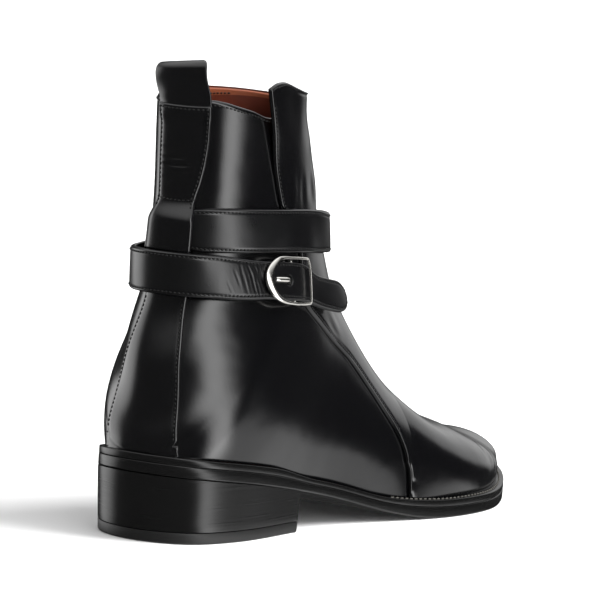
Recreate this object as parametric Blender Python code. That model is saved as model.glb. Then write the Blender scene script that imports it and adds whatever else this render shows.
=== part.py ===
"""Strap boot, right foot: sole, hollow upper, panels, wound strap, buckle and pull loop as closed solids."""
import bpy
import bmesh
import numpy as np
from mathutils import Vector, kdtree

for item in list(bpy.data.objects):
    bpy.data.objects.remove(item, do_unlink=True)

# Driving dimensions in millimetres; x runs from the heel's back to the toe, y to the inner side, z up
MM = 0.001
SOLE_LENGTH = 296.0
FLAT_START, FLAT_END = 194.0, 228.0
TOE_SPRING = 9.0
TOE_SWING = 4.0
GAP = 0.3
WALL = 2.2
TOE_WALL = 1.0
PANEL_THICK = 1.5
HEEL_LENGTH = 85.0
TOP_PIECE = 5.0
HEEL_TAPER_BACK = 2.2
HEEL_TAPER_SIDE = 0.035
INSOLE_THICK = 3.0
LEG_AXIS_X = 62.0
STRAP_THICK = 2.4
BACK_FULLNESS = 0.84
PANEL_LIFT = 2.4
BULGE = 3.5
FOOT_CLEAR = 2.2

# x, height of the sole's underside
SHANK = [(0, 29.8), (42, 25.4), (85, 18.7), (120, 11.8), (155, 3.4), (178, 0.5), (194, 0.0)]
# x, outsole thickness, welt thickness
THICKNESS = [(0, 5, 3), (62, 5, 3), (98, 3.9, 2.1), (135, 3.9, 2.1), (180, 5, 3), (296, 5, 3)]
# x, outer half-width, inner half-width of the sole
OUTLINE = [(0, 0, 0), (3.9, 15.5, 15.8), (11.8, 25, 25.6), (25.5, 31, 32.2), (44, 34.3, 35.2),
           (76.5, 34.4, 33.2), (110, 35.1, 30.6), (147, 42.6, 34.5), (181, 51.2, 45.5), (208, 53.8, 51.5),
           (231, 51.4, 52), (253, 44.4, 47.5), (270.5, 34.5, 39.5), (284, 22, 28.5), (292, 9.5, 17.5),
           (296, -TOE_SWING, TOE_SWING)]
# x, how far the upper stands in from the sole's edge
FEATHER = [(0, 2.6), (69, 2.4), (108, 2.6), (196, 4.2), (296, 4.6)]

# Sections of the last: keel x, keel z (None on the feather line), crest x, crest z, outer width, inner width,
# height of the widest place, pinch of the upper half, sideways shift of the crest
SECTIONS = [
    ("toe tip", 291.4, None, 291.4, 17.8, 0.0, 0.0, .30, -.10, 4.0),
    ("nose", 290.1, None, 290.9, 23.2, 10.2, 10.6, .32, -.02, 4.0),
    ("toe front", 284.7, None, 284.7, 26.6, 21.4, 22.2, .34, .00, 4.0),
    ("toe box", 273.4, None, 272.4, 27.8, 29.7, 29.4, .34, .04, 3.8),
    ("toe back", 256.8, None, 255.8, 30.0, 37.7, 37.4, .33, .07, 3.2),
    ("ball front", 233.2, None, 232.3, 37.1, 44.7, 44.4, .31, .10, 2.2),
    ("ball", 207.8, None, 206.8, 44.1, 48.2, 46.4, .29, .13, 1.2),
    ("waist", 180.3, None, 182.3, 57.1, 45.2, 41.9, .28, .18, .8),
    ("instep low", 150.9, None, 160.7, 75.7, 42.0, 37.0, .27, .25, .5),
    ("instep", 117.6, None, 143.5, 97.0, 38.0, 34.0, .27, .28, .3),
    ("instep top", 82.3, None, 131.5, 116.7, 35.4, 34.8, .28, .28, .0),
    ("heel girth", 47.0, None, 123.3, 136.2, 36.3, 37.8, .30, .24, .0),
    ("heel seat", 19.6, None, 118.9, 146.5, 35.6, 37.6, .34, .20, .0),
    ("heel back", 2.6, None, 117.2, 154.0, 34.6, 36.6, .38, .18, .0),
    ("counter", 4.7, 52.0, 115.7, 160.0, 32.4, 33.8, .42, .14, .0),
    ("counter top", 8.0, 74.0, 113.9, 167.0, 28.9, 29.9, .45, .12, .0),
    ("ankle", 15.9, 98.0, 111.0, 174.0, 26.5, 27.5, .47, .10, .0),
    ("strap", 19.6, 122.0, 107.4, 180.0, 25.7, 27.1, .49, .08, .0),
    ("shaft", 20.0, 146.0, 103.9, 186.0, 25.0, 26.9, .50, .06, .0),
    ("shaft top", 18.8, 170.0, 101.8, 192.0, 25.1, 27.1, .50, .04, .0),
    ("collar", 17.7, 194.0, 101.1, 198.0, 25.7, 27.2, .50, .04, .0),
    ("collar top", 17.1, 210.0, 100.9, 203.0, 26.3, 27.3, .50, .04, .0),
]
BACK = 13

# Place along the last, share of the way from feather line or back seam to the crest
PANEL_EDGE = [(131.5, 0), (132.2, .10), (133.6, .28), (135.6, .42), (138, .507), (142, .552), (147, .584),
              (155, .612), (167.5, .639), (192.5, .668), (220.5, .657), (249, .645), (275, .628), (303, .580),
              (319, .524), (335, .487), (351, .443), (360, .408), (369, .383)]
BACKSTAY_OUTER = [(259, 0), (259.7, .06), (261.5, .125), (266, .163), (279, .148), (294, .132), (309, .098),
                  (325, .088), (337.5, .088), (343, .112), (349, .133), (356, .144), (369, .144)]
BACKSTAY_INNER = [(259, 0), (259.7, .075), (261.5, .15), (266, .19), (277, .20), (292, .18), (308, .138),
                  (325, .108), (339, .118), (350, .134), (369, .13)]
# Share of the way from the back seam to the crest, end of the wall along the last
TOP_OUTER = [(0, 364.4), (.1, 365.5), (.144, 365.5), (.211, 364.8), (.278, 363.2), (.35, 361), (.422, 357.6),
             (.55, 354), (.75, 351), (1, 348)]
TOP_INNER = [(0, 364.4), (.1, 365.4), (.3, 365.2), (.4, 364.4), (.55, 363.3), (.65, 361.4), (.74, 358.7),
             (.83, 354.9), (.9, 351.6), (1, 348)]
PANEL_TOP_OUTER = [(0, 371), (.43, 371.4), (.49, 371.3), (.567, 368.9), (.633, 366.2), (.75, 361.5),
                   (.88, 354.6), (1, 349)]
PANEL_TOP_INNER = [(0, 365.6), (.4, 365.5), (.55, 364.4), (.65, 362.4), (.74, 359.7), (.83, 355.9),
                   (.9, 352.6), (1, 349)]
BACKSTAY_TOP = 362.4
STAY_ROWS = [259.7, 320.8, 322.6, 324.4, 334, 336, 338.6, 347, 354, BACKSTAY_TOP]

ROWS = [0, 1.6, 4, 8, 14, 22, 32, 45, 60, 76, 92, 108, 122, 131.5, 133, 135.5, 140, 147, 158, 172, 188,
        204, 220, 235, 247, 255, 259, 259.7, 261.5]
BACK_ROWS = [270, 279, 289, 299, 309, 319, 329]
TOP_STEPS = [.36, .7, 1.0]
STAY_COLS, QUARTER_COLS, PANEL_COLS = 3, 5, 7

# Angle round the leg from the back over the outer side, height of the middle, width, stand-off low and high
STRAP = [(-11, 133.9, 17.0, .3, .3), (6, 133.9, 17.2, .4, .4), (18, 134.2, 18.2, .4, .4),
         (36, 134.8, 18.2, .4, .4), (67, 134.0, 18.6, .5, .5), (100, 133.3, 18.6, 1.9, 2.0),
         (120, 132.4, 18.5, 2.5, 3.2), (150, 129.2, 18.2, 2.6, 5.0), (180, 125.8, 18.0, 2.6, 5.6),
         (215, 121.4, 18.0, 2.5, 4.6), (245, 118.2, 18.2, 2.4, 2.8), (275, 116.0, 18.4, 1.2, 1.6),
         (310, 114.6, 18.8, 1.8, 3.4), (325, 114.3, 19.0, 2.8, 5.2), (338, 114.2, 19.0, 3.6, 6.4),
         (352, 114.3, 19.2, 4.4, 7.0), (368, 114.4, 19.2, 4.0, 6.2), (384, 114.0, 18.4, 2.6, 3.2),
         (400, 113.4, 17.6, 2.2, 2.4), (413, 113.1, 17.0, 2.2, 2.2), (424, 112.9, 16.4, 2.2, 2.2),
         (447, 112.3, 16.4, 2.2, 2.2), (470, 111.2, 16.2, 2.2, 2.2), (480, 109.0, 15.0, 2.6, 2.6),
         (490, 106.4, 14.4, 3.4, 3.4), (502, 103.9, 14.4, 4.8, 4.8), (516, 100.9, 14.4, 6.9, 6.9)]
TIP_ROUND = 10.5
HOLE_ANGLE, HOLE_RADIUS = 447.5, 2.7

# Buckle loop: place along the strap, place across it, stand-off of the wire's middle, wire radius
BUCKLE_ANGLE, BUCKLE_HEIGHT, BUCKLE_SLOPE = 447.0, 112.4, -.055
BUCKLE = [(-14.0, 0, 6.6, 1.35), (-13.2, 3.4, 6.6, 1.35), (-11.0, 6.4, 6.5, 1.25), (-7.5, 8.65, 6.1, 1.1),
          (-3.2, 9.7, 5.3, .95), (3, 9.85, 4.7, .85), (9, 9.85, 4.8, .8), (12.8, 9.6, 5.5, .75),
          (13.9, 8.4, 6.0, .7), (14.1, 5, 6.1, .7), (14.1, 0, 6.1, .7)]
PIN_PLACE = 7.4
PIN = [(-9.75, 2.5), (-9.5, 1.7), (-8.9, 1.25), (-7.5, 1.15), (0, 1.15), (7.5, 1.15), (8.9, 1.25), (9.5, 1.7),
       (9.75, 2.5)]
PRONG = [(5.4, 1.2), (3.2, 1.25), (1.8, 1.9), (.6, 3.4), (-.6, 5.0), (-2.3, 5.95), (-5, 6.0), (-10.0, 5.9)]

# Pull loop: height over the backstay's top, distance from the wall, half-width, sideways lean
LOOP = [(.6, .35, 12.5, -1), (4, .35, 12.5, -.9), (8, .9, 12.7, -.2), (12.4, 1.5, 13.1, 1),
        (16.6, 1.5, 13.4, 1.9), (19, .6, 13.4, 2.2), (20.1, -1.8, 13.2, 2.3), (19.4, -4.4, 12.6, 2.4),
        (16.6, -5.8, 11.8, 2.5), (11.5, -6.1, 11.2, 2.6), (6, -5.4, 10.8, 2.6), (0, -4.4, 10.4, 2.6),
        (-8, -4.3, 10.2, 2.6), (-18, -4.3, 10.2, 2.6)]
LOOP_TILT = .12
LOOP_THICK = 1.3


def spline(knots, values):
    """Natural cubic spline through the knots, as a function."""
    t, p = np.asarray(knots, float), np.asarray(values, float)
    n, h = len(t), np.diff(t)
    a, r = np.zeros((n, n)), np.zeros((n,) + p.shape[1:])
    a[0, 0] = a[-1, -1] = 1.0
    for i in range(1, n - 1):
        a[i, i - 1:i + 2] = h[i - 1], 2 * (h[i - 1] + h[i]), h[i]
        r[i] = 6 * ((p[i + 1] - p[i]) / h[i] - (p[i] - p[i - 1]) / h[i - 1])
    m = np.linalg.solve(a, r)

    def at(x):
        x = np.asarray(x, float)
        k = np.clip(np.searchsorted(t, x, side="right") - 1, 0, n - 2)
        d, e, w = x - t[k], t[k + 1] - x, h[k]
        if p.ndim > 1:
            d, e, w = d[..., None], e[..., None], w[..., None]
        return ((m[k] * e**3 + m[k + 1] * d**3) / (6 * w) + (p[k] / w - m[k] * w / 6) * e
                + (p[k + 1] / w - m[k + 1] * w / 6) * d)
    return at


def smooth(table, column=1):
    """Curve through a table that never overshoots its rows, as a function."""
    t = np.array([row[0] for row in table], float)
    p = np.array([row[column] for row in table], float)
    h, g = np.diff(t), np.diff(p) / np.diff(t)
    m = np.zeros(len(t))
    w1, w2 = 2 * h[1:] + h[:-1], h[1:] + 2 * h[:-1]
    same = g[1:] * g[:-1] > 0
    m[1:-1][same] = ((w1 + w2)[same]) / (w1[same] / g[:-1][same] + w2[same] / g[1:][same])
    m[0], m[-1] = g[0], g[-1]

    def at(x):
        x = np.clip(np.asarray(x, float), t[0], t[-1])
        k = np.clip(np.searchsorted(t, x, side="right") - 1, 0, len(t) - 2)
        u = (x - t[k]) / h[k]
        return (p[k] * (1 + 2 * u) * (1 - u)**2 + h[k] * m[k] * u * (1 - u)**2
                + p[k + 1] * u * u * (3 - 2 * u) + h[k] * m[k + 1] * u * u * (u - 1))
    return at


def ease(x):
    x = np.clip(x, 0, 1)
    return x * x * (3 - 2 * x)


# The sole's shape
shank = spline([r[0] for r in SHANK], [r[1] for r in SHANK])
outsole_thick, welt_thick = smooth(THICKNESS, 1), smooth(THICKNESS, 2)
feather_inset = smooth(FEATHER)


def under(x):
    """Height of the outsole's underside."""
    x = np.asarray(x, float)
    toe = TOE_SPRING * (np.clip(x - FLAT_END, 0, None) / (SOLE_LENGTH - FLAT_END))**2
    return np.where(x < FLAT_START, np.clip(shank(np.clip(x, 0, FLAT_START)), 0, None), toe)


def welt_base(x):
    return under(x) + outsole_thick(x) + GAP


def feather_z(x):
    return welt_base(x) + welt_thick(x) + GAP


def turn(x):
    return np.arccos(np.clip(1 - 2 * np.asarray(x, float) / SOLE_LENGTH, -1, 1))


outer_half = spline([turn(r[0]) for r in OUTLINE], [r[1] for r in OUTLINE])
inner_half = spline([turn(r[0]) for r in OUTLINE], [r[2] for r in OUTLINE])


def sole_loop(count):
    """Edge of the sole from the heel's back over the outer side to the toe and back."""
    u = np.linspace(0, np.pi, count)
    x = SOLE_LENGTH * (1 - np.cos(u)) / 2
    return np.concatenate([np.stack([x, -outer_half(u)], 1), np.stack([x, inner_half(u)], 1)[-2:0:-1]])


def inset(loop, amount):
    q = np.roll(loop, -1, 0) - np.roll(loop, 1, 0)
    n = np.stack([-q[:, 1], q[:, 0]], 1)
    return loop + n / np.linalg.norm(n, axis=1)[:, None] * np.broadcast_to(amount, len(loop))[:, None]


def halves(loop, count):
    """Outer and inner half-widths of a loop as functions of x."""
    a = loop[:count]
    b = np.concatenate([loop[:1], loop[:count - 1:-1], loop[count - 1:count]])
    return lambda x: (np.interp(x, a[:, 0], -a[:, 1]), np.interp(x, b[:, 0], b[:, 1]))


FINE = 160
edge_fine = sole_loop(FINE)
feather = halves(inset(edge_fine, feather_inset(edge_fine[:, 0])), FINE)

# The last's shape
table = np.array([[r[1], feather_z(r[1]) if r[2] is None else r[2], *r[3:]] for r in SECTIONS], float)
steps = (np.linalg.norm(np.diff(table[:, 0:2], axis=0), axis=1)
         + np.linalg.norm(np.diff(table[:, 2:4], axis=0), axis=1))
places = np.concatenate([[0], np.cumsum(steps / 2)])
form = spline(places, table)
BACK_PLACE = places[BACK]


def skin(s, q):
    """Point of the last: s along it, q from -1 at the outer feather line over 0 at the crest to 1."""
    s, q = np.broadcast_arrays(np.asarray(s, float), np.asarray(q, float))
    q = np.where(np.abs(q) > 1, (q + 1) % 2 - 1, q)
    side, t = np.where(q < 0, -1.0, 1.0), 1 - np.abs(q)
    kx, kz, cx, cz, wide_out, wide_in, vm, pinch, yc = np.moveaxis(form(s), -1, 0)
    on_sole = s <= BACK_PLACE
    kz = np.where(on_sole, feather_z(kx), kz)
    toe_end = SOLE_LENGTH - FEATHER[-1][1]
    yk = np.where(on_sole, TOE_SWING * np.clip((kx - 236) / (toe_end - 236), 0, 1)**2, 0.0)
    fo, fi = feather(kx)
    foot = np.where(on_sole, np.where(side < 0, fo + yk, fi - yk), 0.0)
    w = np.maximum(np.where(side < 0, wide_out, wide_in), np.maximum(foot + .05, .02))
    start = np.arccos(np.clip(foot / w, 0, 1))
    low = t < .5
    b = np.where(low, -start * (1 - 2 * t), (2 * t - 1) * np.pi / 2)
    v = vm + np.where(low, vm / np.maximum(np.sin(start), 1e-6), 1 - vm) * np.sin(b)
    full = 1 + (BACK_FULLNESS - 1) * ease((s - BACK_PLACE - 8) / 55)
    c = np.clip(np.cos(b), 0, 1)
    y = w * np.where(low, c**full, c * (1 - pinch * np.sin(b)**2))
    return np.stack([kx + (cx - kx) * v, side * y + yk * (1 - v) + yc * v, kz + (cz - kz) * v], -1)


def normal(s, q, e=.012):
    """Outward direction of the last."""
    s, q = np.broadcast_arrays(np.asarray(s, float), np.asarray(q, float))
    back = s > BACK_PLACE
    qa = np.where(back, q - e, np.clip(q - e, -1, 1 - 2 * e))
    qb = np.where(back, q + e, np.clip(q + e, -1 + 2 * e, 1))
    qc = np.where(back, q, np.clip(q, -1 + e, 1 - e))
    along = skin(np.maximum(s + 1, .9), qc) - skin(np.clip(s - 1, .4, None), qc)
    n = np.cross(skin(s, qb) - skin(s, qa), along)
    n[..., 1] = np.where(((s >= BACK_PLACE) & (np.abs(q) > .999)) | (s < .01), 0, n[..., 1])
    return n / (np.linalg.norm(n, axis=-1)[..., None] + 1e-12)


def out(s, q, distance):
    return skin(s, q) + normal(s, q) * np.asarray(distance, float)[..., None]


def on_leg(angle, height):
    """Last coordinates of the point seen from the leg's axis at an angle and height."""
    angle, height = np.broadcast_arrays(np.asarray(angle, float), np.asarray(height, float))
    gs, gq = np.meshgrid(np.linspace(195, places[-1] - 2, 90), np.linspace(-1, .98, 100), indexing="ij")
    g = skin(gs, gq)
    ga = np.degrees(np.arctan2(-g[..., 1], -(g[..., 0] - LEG_AXIS_X)))
    s, q = np.empty(angle.shape), np.empty(angle.shape)
    for k in np.ndindex(angle.shape):
        turn_by = (ga - angle[k] + 180) % 360 - 180
        i = np.unravel_index(((turn_by * .7)**2 + (g[..., 2] - height[k])**2).argmin(), ga.shape)
        s[k], q[k] = gs[i], gq[i]
    a = np.radians(angle)
    across = np.stack([np.sin(a), -np.cos(a)], -1)

    def miss(s, q):
        p = skin(s, q)
        return (p[..., 0] - LEG_AXIS_X) * across[..., 0] + p[..., 1] * across[..., 1], p[..., 2] - height
    for _ in range(9):
        f, g2 = miss(s, q)
        fs, gs2 = miss(s + .2, q)
        fq, gq2 = miss(s, q + .003)
        a11, a12, a21, a22 = (fs - f) / .2, (fq - f) / .003, (gs2 - g2) / .2, (gq2 - g2) / .003
        det = a11 * a22 - a12 * a21
        det = np.where(np.abs(det) < 1e-9, 1e-9, det)
        s = s - np.clip((f * a22 - g2 * a12) / det, -5, 5)
        q = q - np.clip((a11 * g2 - a21 * f) / det, -.06, .06)
    return s, q


def on_strap(angle, height, distance):
    """Point at a stand-off from the leg."""
    s, q = on_leg(angle, height)
    return out(s, q, np.broadcast_to(distance, s.shape))


# Meshes
CENTRE = np.array([SOLE_LENGTH / 2, (edge_fine[:, 1].max() + edge_fine[:, 1].min()) / 2, 0])


def welded(points, reach=.08):
    """For each point the first one of the cluster it lies in."""
    tree = kdtree.KDTree(len(points))
    for i, p in enumerate(points):
        tree.insert(Vector(p), i)
    tree.balance()
    first = list(range(len(points)))

    def root(i):
        while first[i] != i:
            i = first[i]
        return i
    for i, p in enumerate(points):
        for _, k, _ in tree.find_range(Vector(p), reach):
            a, b = root(i), root(k)
            first[max(a, b)] = min(a, b)
    return [root(i) for i in range(len(points))]


def solid(name, points, faces, colour, rough, metal=0.0, reach=.02):
    """Named closed body in metres with its own material."""
    same = welded(points, reach)
    body = bmesh.new()
    made = {}
    for face in faces:
        ring = []
        for k in (same[i] for i in face):
            if not ring or ring[-1] != k:
                ring.append(k)
        if len(ring) > 1 and ring[0] == ring[-1]:
            ring.pop()
        if len(set(ring)) < 3:
            continue
        for k in ring:
            if k not in made:
                made[k] = body.verts.new((np.asarray(points[k]) - CENTRE) * MM)
        body.faces.new([made[k] for k in ring])
    bmesh.ops.recalc_face_normals(body, faces=body.faces)
    mesh = bpy.data.meshes.new(name)
    body.to_mesh(mesh)
    body.free()
    item = bpy.data.objects.new(name, mesh)
    bpy.context.collection.objects.link(item)
    material = bpy.data.materials.new(name)
    material.use_nodes = True
    shader = material.node_tree.nodes["Principled BSDF"]
    shader.inputs["Base Color"].default_value = (*colour, 1)
    shader.inputs["Roughness"].default_value = rough
    shader.inputs["Metallic"].default_value = metal
    mesh.materials.append(material)
    return item


def loft(name, rings, colour, rough, metal=0.0, round_trip=False):
    """Body through rings of points; ends are closed unless the rings go round."""
    rings = np.asarray(rings)
    n, k = rings.shape[:2]
    at = np.arange(n * k).reshape(n, k)
    faces = []
    for i in range(n if round_trip else n - 1):
        for j in range(k):
            faces.append((at[i, j], at[i, (j + 1) % k], at[(i + 1) % n, (j + 1) % k], at[(i + 1) % n, j]))
    if not round_trip:
        faces += [tuple(at[0][::-1]), tuple(at[-1])]
    return solid(name, rings.reshape(-1, 3), faces, colour, rough, metal)


def shell(name, key, near, far, colour, rough, seam=None):
    """Body between two grids; places that coincide on the key grid become one, no cells at a seam."""
    rows, cols = near.shape[:2]
    flat, far_flat = near.reshape(-1, 3), far.reshape(-1, 3)
    same = welded(key.reshape(-1, 3), .13)
    at = np.arange(rows * cols).reshape(rows, cols)
    cells, edges = [], {}
    for i in range(rows - 1):
        for j in range(cols - 1):
            if j == seam:
                continue
            ring = []
            for k in (at[i, j], at[i, j + 1], at[i + 1, j + 1], at[i + 1, j]):
                if not ring or ring[-1] != same[k]:
                    ring.append(same[k])
            if ring[0] == ring[-1]:
                ring.pop()
            if len(set(ring)) < 3:
                continue
            cells += [ring[:3], [ring[0]] + ring[2:]] if len(ring) == 4 else [ring]
            for a, b in zip(ring, ring[1:] + ring[:1]):
                edges[(a, b)] = edges.get((a, b), 0) + 1
    rims = [(a, b) for a, b in edges if (b, a) not in edges]
    count = rows * cols
    faces = cells + [[k + count for k in ring[::-1]] for ring in cells]
    faces += [(b, a, a + count, b + count) for a, b in rims]
    return solid(name, np.concatenate([flat, far_flat]), faces, colour, rough, reach=1e-4)


def tube(name, path, radii, colour, rough, metal, sides=8, round_trip=False):
    """Round wire along a path."""
    path = np.asarray(path, float)
    ahead = np.roll(path, -1, 0) - np.roll(path, 1, 0) if round_trip else np.gradient(path, axis=0)
    ahead /= np.linalg.norm(ahead, axis=1)[:, None]
    up = np.array([.37, .61, .70])
    rings = []
    for p, d, r in zip(path, ahead, np.broadcast_to(radii, len(path))):
        up = up - d * (up @ d)
        up /= np.linalg.norm(up)
        side = np.cross(d, up)
        a = np.arange(sides) * 2 * np.pi / sides
        rings.append(p + r * (np.cos(a)[:, None] * up + np.sin(a)[:, None] * side))
    return loft(name, rings, colour, rough, metal, round_trip)


BLACK = (.012, .012, .013)
STEEL = (.72, .72, .70)


def make_sole():
    """Outsole, welt ring, insole, stacked heel and its rubber lift."""
    u = np.linspace(0, np.pi, 58)
    x = SOLE_LENGTH * (1 - np.cos(u)) / 2
    lo, hi = under(x), under(x) + outsole_thick(x)
    yo, yi = -outer_half(u), inner_half(u)
    stack = lambda a, b, z: np.stack([a, b, z], -1)
    loft("outsole", np.stack([stack(x, yo, lo), stack(x, yi, lo), stack(x, yi, hi), stack(x, yo, hi)], 1),
         (.03, .028, .026), .6)

    count = 58
    rim = sole_loop(count)
    hem = inset(rim, feather_inset(rim[:, 0]) + 3.0)
    rows = []
    for p, drop in ((rim, 0), (hem, 0), (hem, 1), (rim, 1)):
        rows.append(np.column_stack([p, welt_base(p[:, 0]) + drop * welt_thick(p[:, 0])]))
    loft("welt", np.stack(rows, 1), BLACK, .5, round_trip=True)

    bed = halves(inset(hem, GAP + .1), count)
    first, last = FEATHER[0][1] + 3.0 + GAP + .1, SOLE_LENGTH - FEATHER[-1][1] - 3.0 - GAP - .1
    x = first + (last - first) * (1 - np.cos(np.linspace(0, np.pi, 44))) / 2
    o, i = bed(x)
    lo = welt_base(x)
    hi = lo + np.minimum(INSOLE_THICK, welt_thick(x) + GAP)
    loft("insole", np.stack([stack(x, -o, lo), stack(x, i, lo), stack(x, i, hi), stack(x, -o, hi)], 1),
         (.25, .13, .07), .7)

    u = turn(HEEL_LENGTH) * (1 - np.cos(np.linspace(0, np.pi / 2, 26)))
    x = SOLE_LENGTH * (1 - np.cos(u)) / 2
    yo, yi = -outer_half(u), inner_half(u)
    top = under(x) - GAP

    def ring_at(z):
        share = 1 - z / top.mean() if np.isscalar(z) else np.zeros(len(x))
        taper_x = HEEL_TAPER_BACK * share * (1 - x / HEEL_LENGTH)
        side = 1 - HEEL_TAPER_SIDE * share
        return stack(x + taper_x, yo * side, z + 0 * x), stack(x + taper_x, yi * side, z + 0 * x)
    for name, low, high, colour in (("heel_top_piece", 0.0, TOP_PIECE, (.02, .02, .02)),
                                    ("heel_block", TOP_PIECE + GAP, top, (.03, .028, .026))):
        (a, b), (c, d) = ring_at(low), ring_at(high)
        loft(name, np.stack([a, b, d, c], 1), colour, .6)


panel_edge, stay_outer, stay_inner = smooth(PANEL_EDGE), smooth(BACKSTAY_OUTER), smooth(BACKSTAY_INNER)
top_outer, top_inner = smooth(TOP_OUTER), smooth(TOP_INNER)
panel_top_outer, panel_top_inner = smooth(PANEL_TOP_OUTER), smooth(PANEL_TOP_INNER)
COLS = 2 * (STAY_COLS + QUARTER_COLS + PANEL_COLS) + 1
PANEL_FROM, PANEL_TO = STAY_COLS + QUARTER_COLS, COLS - 1 - STAY_COLS - QUARTER_COLS


def columns(s):
    """Column places across the last for rows s, with columns along the panel and backstay edges."""
    s = np.asarray(s, float)
    parts = []
    for side, stay in ((-1, stay_outer), (1, stay_inner)):
        a, b = stay(s), np.maximum(panel_edge(s), stay(s))
        runs = ((0 * s, a, STAY_COLS), (a, b, QUARTER_COLS), (b, 1 + 0 * s, PANEL_COLS))
        t = [lo[..., None] + (hi - lo)[..., None] * np.arange(n) / n for lo, hi, n in runs]
        parts.append(side * (1 - np.concatenate(t, -1)))
    return np.concatenate([parts[0], 0 * s[..., None], parts[1][..., ::-1]], -1)


def grid():
    """Rows and columns of the upper: s and q at each place, rows running up to the top line."""
    low = np.array(ROWS + [BACK_PLACE] + BACK_ROWS, float)
    s = [np.full(COLS, v) for v in low]
    q = [columns(v) for v in low]
    end = columns(358.0)
    t = 1 - np.abs(end)
    top = np.where(end < 0, top_outer(t), top_inner(t))
    for f in TOP_STEPS:
        row = low[-1] + (top - low[-1]) * f
        s.append(row)
        q.append(np.diagonal(columns(row)))
    return np.array(s), np.array(q)


def lift(s, q):
    """How far the front panel's free edge stands off near its top."""
    from_edge = (1 - np.abs(q)) - panel_edge(s)
    return PANEL_LIFT * ease((s - 330) / 34) * (1 - ease(from_edge / .16))


def above_welt(s, q):
    """Column places moved up a little where a panel would otherwise reach below the welt's top."""
    side = np.where(q < 0, -1.0, 1.0)
    reach = np.linalg.norm(skin(s, side * .95) - skin(s, side), axis=-1) / .05
    least = np.where(s < BACK_PLACE - .01, FOOT_CLEAR / np.maximum(reach, 5), 0)
    return side * np.minimum(np.abs(q), 1 - least)


def over_welt(points):
    """Points lifted clear of the welt's top."""
    points[..., 2] = np.maximum(points[..., 2], feather_z(np.clip(points[..., 0], 0, SOLE_LENGTH)) - .15)
    return points


def make_upper():
    """Hollow upper, front panel and backstay on one grid."""
    s, q = grid()
    face, away = skin(s, q), normal(s, q)
    wall = TOE_WALL + (WALL - TOE_WALL) * ease(s / 12)
    shell("upper", face, face - away * wall[..., None], face, BLACK, .3)

    part = slice(PANEL_FROM, PANEL_TO + 1)
    t = 1 - np.abs(q[-1, part])
    extra = np.where(q[-1, part] < 0, panel_top_outer(t), panel_top_inner(t))
    ps = np.vstack([s[:, part], s[-1, part] + (extra - s[-1, part]) * .5, extra])
    pq = np.vstack([q[:, part], q[-1, part], q[-1, part]])
    pq = above_welt(ps, pq)
    off = GAP + lift(ps, pq)
    near, far = over_welt(out(ps, pq, off)), over_welt(out(ps, pq, off + PANEL_THICK))
    shell("front_panel", skin(ps, pq), near, far, BLACK, .3)

    rows = np.unique([v for v in ROWS if v > 258] + [BACK_PLACE] + BACK_ROWS + STAY_ROWS)
    cols = list(range(COLS - 1 - STAY_COLS, COLS)) + list(range(0, STAY_COLS + 1))
    bs = np.repeat(rows[:, None], len(cols), 1)
    bq = above_welt(bs, columns(rows)[:, cols])
    height = skin(bs, bq)[..., 2]
    bulge = BULGE * ease((height - 120.4) / 4.0) * (1 - ease((height - 143.4) / 3.6))
    off = GAP + .2 + bulge + .4 * (1 - ease((height - 40) / 10))
    near, far = over_welt(out(bs, bq, off)), over_welt(out(bs, bq, off + PANEL_THICK))
    shell("backstay", skin(bs, bq), near, far, BLACK, .35, seam=STAY_COLS)


def buckle_place(along, across, distance):
    """Point of the buckle from its place along and across the strap."""
    along = np.asarray(along, float)
    span = on_strap(np.array([BUCKLE_ANGLE - 5, BUCKLE_ANGLE + 5]), np.full(2, BUCKLE_HEIGHT), 5.0)
    per_degree = np.linalg.norm(span[1] - span[0]) / 10
    height = BUCKLE_HEIGHT + across + BUCKLE_SLOPE * along
    return on_strap(BUCKLE_ANGLE + along / per_degree, height, distance)


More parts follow.
